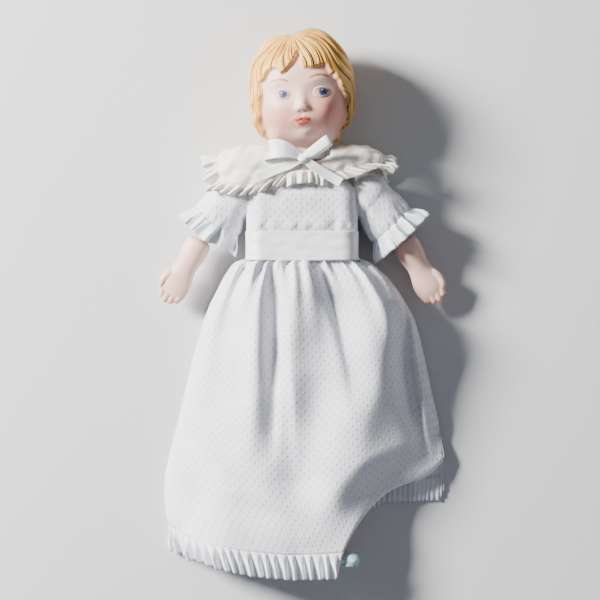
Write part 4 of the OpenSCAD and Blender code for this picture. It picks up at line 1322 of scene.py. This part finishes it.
head += out_way * (hair_share * (HAIR + lock * (0.35 + 0.65 * edge_round)))[..., None]
relief = face_relief(hx, hy) * smooth(-to_line, -0.4, 1.6) * (~behind)
head[..., 2] += relief
head[..., 2] = np.maximum(head[..., 2], 0.15)
fx, fy = head_place(head)
porcelain = Shape().grid(head, wrap_cols=True, caps=True, face=stacked(fx, fy), hairline=hairline,
                         groove=groove, strands=strands)
# neck and shoulder plate
PLATE = [(37, 14.6, 2.6, 19.8, 6), (42, 14.6, 2.8, 19.6, 4), (47.5, 12.5, 4.2, 19.2, 1), (50.5, 8.6, 7.8, 20.6, 0),
         (54, 6.4, 8.6, 21.2, 0), (58, 6.2, 10, 22.4, 0), (63, 6.4, 11, 23.4, 0)]
plate_rows = rounded(PLATE, 60)
around = np.arange(96) * 2 * np.pi / 96
plate_grid = []
for y, half, low, high, rise in plate_rows:
    cs, sn = np.cos(around), np.sin(around)
    flat_share = 0.62 if y < 48 else 0.62 + 0.38 * min(1, (y - 48) / 6)
    lean_x = (81 - y) * math.tan(LEAN) * float(smooth(y, 47, 54))
    plate_grid.append(stacked(lean_x + half * np.sign(cs) * np.abs(cs) ** flat_share,
                               y + rise * 0.6 * cs**2,
                               (low + high) / 2 + (high - low) / 2 * np.sign(sn) * np.abs(sn) ** flat_share))
plate_grid = np.stack(plate_grid)
porcelain.grid(plate_grid, wrap_cols=True, caps=True, flip=True, hairline=np.full(plate_grid.shape[:2], -6.0),
               face=np.full(plate_grid.shape[:2] + (2,), -60.0))


def lens(p, x, y, cx, cy, half, rise, drop, soft=0.16):
    """1 in an almond shape: half as wide as its span, with its upper and lower edges at rise and drop."""
    t = p.sum("DIVIDE", p.sum("SUBTRACT", x, cx), half)
    bow_up = p.sum("SUBTRACT", 1.0, p.times(t, t))
    over = p.sum("SUBTRACT", p.sum("MULTIPLY_ADD", bow_up, rise, cy), y)
    under = p.sum("SUBTRACT", y, p.sum("MULTIPLY_ADD", bow_up, -drop, cy))
    return p.step(p.sum("MINIMUM", over, under), -soft, soft)


def paint_head(p, skin, rough):
    x, y, _ = p.split(p.attribute("face"))
    hairline_at = p.attribute("hairline", "Fac")
    groove_at, strand_at = p.attribute("groove", "Fac"), p.attribute("strands", "Fac")
    color = skin
    # blush, and painted shade in the eye sockets
    for cx, cy, rx, ry, share in ((-10.2, -10.6, 6.4, 5.6, 0.5), (9.0, -9.2, 6.8, 6.6, 0.62)):
        color = p.tint(color, spot(p, x, y, cx, cy, rx, ry, 0.8), share, rgb(220, 118, 98))
    color = p.tint(color, spot(p, x, y, -0.7, -18.8, 3.4, 2.4, 0.8), 0.25, rgb(232, 165, 152))
    for cx in (-8.1, 6.7):
        color = p.tint(color, spot(p, x, y, cx, 0.2, 4.2, 2.6, 0.7), 0.28, rgb(196, 176, 184))
    # eyes: white, iris, pupil, catch-light, lid lines and lashes
    for cx, cy, ix, iy in ((-8.2, -2.35, -7.85, -2.05), (6.75, -2.2, 7.35, -1.85)):
        white = lens(p, x, y, cx, cy, 2.75, 1.7, 1.35, 0.4)
        color = p.tint(color, white, 0.9, rgb(190, 174, 186))
        iris = p.times(spot(p, x, y, ix, iy, 1.62, 1.62, 0.2), white)
        rays = p.noise(2.4, 2.0)
        blue = p.mix(p.step(rays, 0.35, 0.65), rgb(46, 54, 96), rgb(72, 82, 126))
        color = p.mix(iris, color, blue)
        rim = p.times(p.sum("SUBTRACT", spot(p, x, y, ix, iy, 1.66, 1.66, 0.16),
                                      spot(p, x, y, ix, iy, 1.3, 1.3, 0.2)), white)
        color = p.mix(p.times(rim, 0.6, clamp=True), color, rgb(60, 70, 106))
        color = p.tint(color, spot(p, x, y, ix, iy, 0.82, 0.82, 0.3), white, rgb(38, 38, 62))
        color = p.tint(color, spot(p, x, y, ix - 0.42, iy + 0.5, 0.22, 0.22, 0.4), 0.8, rgb(240, 242, 248))
        color = p.tint(color, arch(p, x, y, cx, cy + 1.6, 3.1, 1.65, 0.30, 0.6), 0.8, rgb(112, 104, 124))
        color = p.tint(color, arch(p, x, y, cx, cy + 2.65, 3.0, 1.35, 0.16), 0.55, rgb(186, 128, 116))
        color = p.tint(color, arch(p, x, y, cx, cy - 1.38, 2.7, -1.3, 0.16), 0.5, rgb(148, 124, 134))
        color = p.mix(spot(p, x, y, cx + (2.6 if cx < 0 else -2.6), cy - 0.15, 0.3, 0.26, 0.4), color,
                      rgb(222, 130, 116))
    # brows
    for cx, cy, half, rise, width in ((-8.9, 3.35, 3.9, 1.0, 0.42), (6.2, 4.35, 4.6, 1.6, 0.52)):
        hairs = p.step(p.noise(1.8, 2.0, p.stretch(p.place, (2.5, 1.0, 1.0))), 0.3, 0.6, 0.65, 1.0)
        color = p.tint(color, arch(p, x, y, cx, cy, half, rise, width, 0.6), hairs, rgb(152, 100, 44))
    # nostrils and lips
    for cx in (-2.0, 0.35):
        color = p.tint(color, spot(p, x, y, cx, -9.0, 0.5, 0.3, 0.5), 0.7, rgb(206, 104, 86))
    upper = p.sum("MAXIMUM", lens(p, x, y, -2.4, -12.35, 2.25, 1.65, 0.3, 0.34),
                  lens(p, x, y, 0.15, -12.35, 2.25, 1.6, 0.3, 0.34))
    under = lens(p, x, y, -1.15, -12.2, 2.75, 0.2, 2.2, 0.38)
    lips = p.sum("MAXIMUM", upper, under)
    lip_color = p.mix(p.step(p.noise(1.2, 2.0), 0.35, 0.65), rgb(200, 78, 50), rgb(214, 102, 70))
    color = p.tint(color, spot(p, x, y, -1.15, -12.3, 4.2, 3.0, 0.6), 0.3, rgb(232, 150, 128))
    color = p.tint(color, lips, 0.86, lip_color)
    color = p.tint(color, arch(p, x, y, -1.15, -12.5, 3.3, -0.1, 0.22, 0.6), 0.8, rgb(158, 54, 40))
    # hair: gold tones, a painted highlight along the strands and painted shade in the grooves
    z_gold = p.noise(0.22, 2.0)
    hair = p.mix(p.step(z_gold, 0.35, 0.65), rgb(240, 184, 86), rgb(220, 152, 58))
    # painted highlight on the crests of the fine strands
    hair = p.tint(hair, p.step(strand_at, 0.55, 0.95), 0.4, rgb(252, 216, 122))
    # painted shade in the grooves between locks and strands
    hair = p.tint(hair, p.step(groove_at, 0.25, 0.95), 0.82, rgb(150, 96, 42))
    side = p.times(p.step(x, 11.5, 16.5), p.step(y, 6.0, -3.0))
    brown = p.mix(p.step(strand_at, 0.15, 0.6, 1.0, 0.0), rgb(172, 124, 66), rgb(84, 54, 34))
    hair = p.tint(hair, side, 0.62, brown)
    low_side = p.times(p.step(x, 14.2, 16.0), p.step(y, 4.5, 1.0))
    strokes = p.times(p.step(groove_at, 0.30, 0.55), p.step(p.noise(0.45, 1.0), 0.40, 0.50))
    hair = p.tint(hair, p.times(strokes, low_side), 0.92, rgb(52, 32, 26))
    share = p.step(hairline_at, -0.05, 0.35)
    color = p.mix(share, color, hair)
    # painted shade on the skin just inside the edge of the raised hair
    shade = p.times(p.step(hairline_at, -1.6, -0.1), p.step(hairline_at, 0.3, 0.0))
    color = p.tint(color, shade, 0.30, rgb(214, 160, 128))
    return color, p.step(hairline_at, -0.1, 0.3, rough, rough + 0.08)


build("porcelain_head", porcelain, bisque("bisque_head", paint_head), "bisque_head", body="torso",
      replaces=("shoulder_head",))


# ---- Porcelain forearms and lower legs ----

def fused(name, shape, voxel, passes, material, slot, body, replaces, values):
    """Joins overlapping closed forms into one skin, and softens it."""
    rough = build(name + "_parts", shape, material, slot)
    del rough["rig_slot"]
    join = rough.modifiers.new("join", "REMESH")
    join.mode, join.voxel_size = "VOXEL", voxel * MM
    soften = rough.modifiers.new("soften", "SMOOTH")
    soften.factor, soften.iterations = 0.5, passes
    bpy.context.view_layer.update()
    mesh = bpy.data.meshes.new_from_object(rough.evaluated_get(bpy.context.evaluated_depsgraph_get()))
    old = rough.data
    bpy.data.objects.remove(rough)
    bpy.data.meshes.remove(old)
    points = np.empty(len(mesh.vertices) * 3)
    mesh.vertices.foreach_get("co", points)
    points = points.reshape(-1, 3) / MM
    joined = Shape()
    joined.points, joined.count = [points], len(points)
    joined.faces = [tuple(f.vertices) for f in mesh.polygons]
    joined.values = [{k: np.asarray(v, float).reshape(len(points), -1) for k, v in values(points).items()}]
    bpy.data.meshes.remove(mesh)
    return build(name, joined, material, slot, body=body, replaces=replaces)


def limb(path, half_w, half_t, up, n, count, power=1.0):
    """A closed form along a few points, each with its half width and half thickness."""
    table = np.column_stack([np.asarray(path, float), half_w, half_t])
    table = rounded(table, count)
    return rings_of(table[:, :3], np.maximum(table[:, 3], 0.15), np.maximum(table[:, 4], 0.15), up, n, power)


def closed(shape, grid):
    return shape.grid(grid, wrap_cols=True, caps=True)


FORE = np.array([math.sin(math.radians(29)), -math.cos(math.radians(29)), 0])
FORE = unit(drooped(SHOULDER + FORE) - SHOULDER)
PALM = unit(np.array([0, 0, 1.0]) - FORE * FORE[2])
THUMB = unit(np.cross(PALM, FORE))
if THUMB[0] < 0:
    THUMB = -THUMB


def on_arm(along_it, across=0.0, lift=0.0):
    return ELBOW + FORE * along_it + THUMB * across + PALM * lift


def paint_arm(p, skin, rough):
    groove_at = p.attribute("groove", "Fac")
    tip_at = p.attribute("tip", "Fac")
    color = p.tint(skin, p.step(tip_at, 0.0, 1.0), 0.38, rgb(232, 158, 142))
    # darker tint in the finger grooves and along the palm line: painted shade in the creases
    color = p.tint(color, p.step(groove_at, 0.2, 1.0), 0.55, rgb(206, 138, 120))
    return color, rough


bisque_arm = bisque("bisque_arm", paint_arm)


def forearm(side):
    name = side_name(side)
    shape = Shape()
    rows = [(4.9, 0, 0, 2.5, 2.5), (5.3, 0, 0, 2.8, 2.8), (6.3, 0, 0, 2.9, 2.9), (7.0, 0, 0, 4.2, 4.2),
            (9.0, 0, 0, 4.9, 4.8), (13.0, 0, 0, 4.8, 4.4), (17.0, 0.05, -0.1, 4.2, 3.5), (20.0, 0.1, -0.2, 4.5, 3.0),
            (22.6, 0.2, -0.2, 5.3, 2.75), (25.4, 0.2, -0.1, 5.7, 2.5), (28.0, 0.05, 0.0, 5.45, 2.15),
            (30.2, 0.0, 0.1, 4.8, 1.5)]
    closed(shape, limb([on_arm(r[0], r[1], r[2]) for r in rows], [r[3] for r in rows], [r[4] for r in rows], PALM,
                       n=56, count=90))
    # fingers: where each starts and ends across the palm, its length and its thickness
    tips = [(3.5, 2.95, 32.4, 1.5), (1.2, 1.0, 33.5, 1.55), (-1.15, -1.0, 33.2, 1.5), (-3.4, -2.85, 31.9, 1.4)]
    for start, end, reach, r in tips:
        path = [on_arm(25.0, start * 0.9, -0.25), on_arm(28.0, start, 0.15), on_arm(30.5, (start + end) / 2, 0.25),
                on_arm(reach - 0.9, end, 0.55), on_arm(reach, end, 0.75)]
        closed(shape, limb(path, [r * 0.95, r, r, r * 0.8, r * 0.25],
                           [r * 0.95, r, r * 0.95, r * 0.75, r * 0.25], PALM, n=20, count=36))
    path = [on_arm(20.8, 2.8, 0.2), on_arm(23.2, 4.3, 0.7), on_arm(25.6, 5.1, 1.0), on_arm(27.8, 5.0, 1.2),
            on_arm(29.2, 4.5, 1.3)]
    closed(shape, limb(path, [1.4, 1.6, 1.4, 1.15, 0.3], [1.3, 1.5, 1.3, 1.0, 0.3], PALM, n=20, count=40))
    # the ball of the thumb and the heel of the hand
    for at, across, lift, r in ((23.6, 2.6, 0.7, 2.0), (23.8, -2.3, 0.55, 1.8)):
        path = [on_arm(at + k * r * 1.4, across, lift) for k in (-1, -0.6, 0, 0.6, 1)]
        closed(shape, limb(path, [0.3, r * 0.8, r, r * 0.8, 0.3], [0.2, r * 0.6, r * 0.75, r * 0.6, 0.2], PALM, n=20,
                           count=24))
    shape.mirror(side)

    def values(points):
        p = mirrored(points, side) - ELBOW
        at, across, lift = p @ FORE, p @ THUMB, p @ PALM
        # where the painted shade goes: between the fingers, beside the thumb and along a palm line
        groove = np.zeros(len(points))
        for gap_at in (2.35, 0.02, -2.25):
            groove = np.maximum(groove, bell((across - gap_at) / 0.36, 1) * smooth(at, 28.8, 30.6))
        groove = np.maximum(groove, 0.7 * bell((across - 4.15 - 0.05 * (at - 26)) / 0.4, 1) * smooth(at, 25.8, 27.4))
        line = bell((across - 1.2 - 0.22 * (at - 24)) / 0.22, 1) * smooth(at, 21.5, 22.6) * smooth(at, 27.2, 26) * 0.5
        groove = np.maximum(groove, line * (lift > 0))
        return {"groove": groove, "tip": smooth(at, 27.5, 33.5)}

    return fused(f"{name}_porcelain_forearm", shape, 0.24, 3, bisque_arm, "bisque_arm", f"{name}_forearm",
                 (f"{name}_forearm",), values)


forearm(1)
forearm(-1)

ROLL = math.radians(36)
TOE = np.array([math.sin(ROLL), 0, math.cos(ROLL)])
FOOT_SIDE = np.cross(TOE, (0, 1.0, 0))
SOLE_Y = -97.5


def paint_leg(p, skin, rough):
    shoe_at, sole_at = p.attribute("shoe", "Fac"), p.attribute("sole", "Fac")
    aqua = p.mix(p.step(p.noise(0.5, 2.0), 0.35, 0.65), rgb(178, 204, 208), rgb(164, 192, 198))
    color = p.mix(p.step(shoe_at, -0.08, 0.12), skin, aqua)
    color = p.mix(p.step(sole_at, -0.08, 0.10), color, rgb(142, 168, 174))
    return color, p.step(shoe_at, -0.1, 0.1, rough, rough - 0.12)


bisque_leg = bisque("bisque_leg", paint_leg)


def lower_leg(side):
    name = side_name(side)
    shape = Shape()
    rows = [(-2.1, 2.6), (-1.6, 2.8), (0.9, 2.8), (1.8, 4.4), (6, 5.25), (13, 5.1), (22, 4.15), (28, 3.6), (32, 3.55),
            (35.5, 3.6)]
    radii = [r[1] for r in rows]
    closed(shape, limb([HIP + LEG * (GROOVE + r[0]) for r in rows], radii, radii, LEG_UP, n=56, count=90))
    # calf and knee
    for at, out, r, size in ((10, -0.9, 4.6, 7.0), (3.5, 0.8, 3.9, 3.0)):
        base = HIP + LEG * (GROOVE + at) + LEG_UP * out
        radii = [0.4, r * 0.85, r, r * 0.85, 0.4]
        closed(shape, limb([base + LEG * size * k for k in (-1, -0.6, 0, 0.6, 1)], radii, radii, LEG_UP, n=32,
                           count=30))
    foot_rows = [(-5.0, 1.7, 2.5), (-4.3, 2.9, 3.4), (-2.0, 3.5, 4.1), (1.5, 3.6, 3.9), (4.5, 3.8, 3.4),
                 (7.5, 3.85, 3.0), (10.0, 3.4, 2.6), (11.6, 2.3, 1.9), (12.1, 1.2, 1.1)]
    closed(shape, limb([(ANKLE[0], SOLE_Y + r[2] + 0.15, ANKLE[2]) + r[0] * TOE for r in foot_rows],
                       [r[1] for r in foot_rows], [r[2] for r in foot_rows], (0, 1.0, 0), n=44, count=70, power=0.85))
    # heel and sole
    for start, end, half, thick in ((-4.9, -0.6, 3.1, 0.75), (1.4, 12.1, 3.7, 0.5)):
        path = [(ANKLE[0], SOLE_Y + thick, ANKLE[2]) + k * TOE for k in np.linspace(start, end, 14)]
        width = half * np.sqrt(np.clip(1 - np.linspace(-1, 1, 14) ** 4, 0.02, 1))
        closed(shape, rings_of(path, width, thick, (0, 1.0, 0), n=32, power=0.6))
    # raised rim round the shoe's opening
    turn_at = np.linspace(0, 2 * np.pi, 49)[:-1]
    rim = np.stack([(ANKLE[0], SOLE_Y + 6.0 + 1.4 * math.sin(t), ANKLE[2]) + (0.4 + 4.15 * math.cos(t)) * TOE
                    + 3.95 * math.sin(t) * FOOT_SIDE for t in turn_at])
    tube = rings_of(np.vstack([rim, rim[:1]]), 0.55, 0.45, (0, 1.0, 0), n=12)[:-1]
    shape.grid(tube, wrap_cols=True, wrap_rows=True)
    shape.mirror(side)

    def values(points):
        p = mirrored(points, side) - ANKLE
        height = mirrored(points, side)[:, 1] - SOLE_Y
        toe = p @ TOE
        top = 6.6 - 0.9 * bell((toe - 4) / 3.5, 1) - 1.1 * smooth(toe, 0, 3) * smooth(toe, 9, 5)
        return {"shoe": (top - height) * 0.6, "sole": (0.95 - height) * 0.6}

    return fused(f"{name}_porcelain_leg", shape, 0.34, 3, bisque_leg, "bisque_leg", f"{name}_leg",
                 (f"{name}_lower_leg",), values)


lower_leg(1)
lower_leg(-1)


# ---- Cloth body ----

def stuffed(name, path, half_w, half_t, up, body, replaced, seed, n=72, count=110, gathers=0.0, size=7.0,
            side=1):
    """A stuffed muslin bag: puckered by its seams, and gathered at its ends."""
    grid = limb(path, half_w, half_t, up, n=n, count=count)
    centre = grid.mean(1, keepdims=True)
    out = unit(grid - centre)
    v = np.linspace(0, 1, count)[:, None]
    a = np.arange(n)[None] * 2 * np.pi / n
    swell = 0.22 * ripple(grid, seed, size)
    ends = smooth(v, 0.16, 0.0) + smooth(v, 0.84, 1.0)
    swell = swell + gathers * ends * np.sin(a * 13 + seed)
    for at in (0.0, np.pi):
        near = bell(np.angle(np.exp(1j * (a - at))) / 0.09, 1)
        swell = swell - near * (0.30 + 0.12 * np.sin(v * 150))
    grid = mirrored(grid + out * swell[..., None], side)
    piece = build(name, cloth_shape(grid, caps=True, flip=side < 0), muslin, "muslin", body=body, replaces=replaced)


stuffed("torso_cloth", TORSO_PATH, TORSO_WIDE, TORSO_DEEP, (0, 0, 1.0), "torso", ("torso_casing", "torso_stuffing"),
        101, n=110, count=160, size=11)

for side in (1, -1):
    name = side_name(side)
    at = [-4.3, -3.4, -1.8, 0, 5.5, 10.6, 12.4, 13.8, 14.5]
    radii = [0.8, 2.9, 4.1, 4.45, 4.6, 4.45, 4.1, 2.9, 1.9]
    stuffed(f"{name}_upper_arm_cloth", [SHOULDER + UPPER * k for k in at], radii, radii, (0, 0, 1.0),
            f"{name}_upper_arm", (f"{name}_arm_casing", f"{name}_arm_stuffing"), 111, gathers=0.22, side=side)
    stuffed(f"{name}_thigh_cloth", [HIP + LEG * k for k in THIGH_AT], THIGH_R, THIGH_R, LEG_UP, f"{name}_leg",
            (f"{name}_thigh_casing", f"{name}_thigh_stuffing"), 121, gathers=0.3, side=side)
    # tab that joins the arm, and the gathered cuff over the porcelain's groove
    tab = rings_of([(x, SHOULDER[1], SHOULDER[2]) for x in np.linspace(12.4, 19.9, 24)],
                   2.0 + 0.18 * np.sin(np.linspace(0, 9, 24)), 1.9, (0, 0, 1.0), n=48)
    tab = cloth_shape(mirrored(gathered(tab, 0.14, 9), side), caps=True, flip=side < 0)
    build(f"{name}_shoulder_tab_cloth", tab, muslin, "muslin", body=f"{name}_shoulder",
          replaces=(f"{name}_shoulder_tab",))
    cuff_rows = rounded([(1.9, 4.9), (3.0, 4.4), (3.9, 3.85), (4.7, 3.55), (5.3, 3.4), (5.6, 3.5), (5.9, 3.7)], 44)
    cuff = rings_of([ELBOW + FORE * r[0] for r in cuff_rows], cuff_rows[:, 1], cuff_rows[:, 1], PALM, n=132)
    cuff = cloth_shape(mirrored(gathered(cuff, 0.2, 22), side), flip=side < 0)
    build(f"{name}_cuff_cloth", cuff, muslin, "muslin", body=f"{name}_forearm", replaces=(f"{name}_arm_cuff",),
          thick=0.35, out=-1.0)
    # thread wound four times round each, and knotted
    r = 3.62
    for part, body, base, way, up_way in (("arm", "forearm", ELBOW + FORE * 5.4, FORE, PALM),
                                          ("leg", "leg", HIP + LEG * (GROOVE - 0.1), LEG, LEG_UP)):
        other = np.cross(way, up_way)
        t = np.linspace(0, 1, 161)
        a = t * 4 * 2 * np.pi - np.pi / 2
        coil = (base + way * ((t - 0.5) * 1.4)[:, None] + up_way * (r * np.sin(a))[:, None]
                + other * (r * np.cos(a))[:, None])
        tie = Shape()
        closed(tie, rings_of(coil, 0.2, 0.2, way, n=10))
        knot_at = base - up_way * (r + 0.1)
        closed(tie, limb([knot_at + way * k for k in (-0.6, -0.3, 0, 0.3, 0.6)], [0.1, 0.35, 0.45, 0.35, 0.1],
                         [0.1, 0.3, 0.4, 0.3, 0.1], up_way, n=12, count=14))
        tie.mirror(side)
        build(f"{name}_{part}_tie_thread", tie, thread, "thread", body=f"{name}_{body}",
              replaces=(f"{name}_{part}_tie",))

# rolled seam along which both legs fold, and the flap below it
roll_x = np.linspace(-13, 13, 90)
roll_r = 1.25
roll_wide = roll_r * np.clip(1 - np.abs(roll_x / 13) ** 14, 0.3, 1) * (1 + 0.06 * np.sin(roll_x * 3.1))
roll = rings_of(stacked(roll_x, -4.8, 9.8), roll_wide, roll_r, (0, 0, 1.0), n=28)
flap_x, flap_y = np.meshgrid(np.linspace(-13, 13, 80), np.linspace(-5.6, -9.5, 16))
flap = stacked(flap_x, flap_y, 9.8 + 0.16 * np.sin(flap_x * 2.2) * smooth(flap_y, -5.6, -8))
hip_shape = Shape()
closed(hip_shape, roll)
hip_shape.grid(flap, cloth=flap[..., :2])
build("hip_fold_cloth", hip_shape, muslin, "muslin", body="hip", replaces=("hip_flap",), thick=0.3)

for node, material in (("plate_stitches", thread), ("back_snaps", snap_metal)):
    for place in frame["nodes"][node].material_slots:
        place.material = material


# ---- The skirt, its frill and the collar pieces, with their places baked into their meshes ----

for piece in (skirt, hem_frill):
    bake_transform(piece)
for side, pair in ((1, left_lobe), (-1, right_lobe)):
    for piece in pair:
        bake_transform(piece)


# ---- Floor, light and surroundings ----

def floor_material():
    p = Paint("floor")
    place = p.add("TexCoord").outputs["Object"]
    color = p.mix(p.step(p.noise(3.0, 2.0, place), 0.3, 0.7), rgb(214, 215, 217), rgb(208, 209, 212))
    return p.finish(color, 0.85)


FLOOR_HALF, FLOOR_Z = 3.0, -0.0002  # metres
floor_mesh = bpy.data.meshes.new("floor")
floor_mesh.from_pydata([(x * FLOOR_HALF, y * FLOOR_HALF, FLOOR_Z) for x, y in ((-1, -1), (1, -1), (1, 1), (-1, 1))],
                       [], [(0, 1, 2, 3)])
floor_mesh.materials.append(floor_material())
floor = add_object("floor", floor_mesh)


def area_light(name, place, aim, size, watts, color):
    light = bpy.data.lights.new(name, "AREA")
    light.shape, light.size, light.energy, light.color = "SQUARE", size, watts, color
    lamp = add_object(name, light)
    lamp.location = place
    face_along(lamp, Vector(aim) - Vector(place))


DOLL_AT = (0, 0, 0.01)
area_light("key", place=(-0.78, 0.34, 0.50), aim=DOLL_AT, size=0.26, watts=46.0, color=(1.0, 0.985, 0.96))
area_light("fill", place=(0.7, -0.3, 0.9), aim=DOLL_AT, size=0.9, watts=0.9, color=(0.88, 0.90, 1.0))
world = bpy.data.worlds.new("studio")
bpy.context.scene.world = world
world.use_nodes = True
world.node_tree.nodes["Background"].inputs["Color"].default_value = (0.80, 0.84, 0.92, 1)
world.node_tree.nodes["Background"].inputs["Strength"].default_value = 0.22
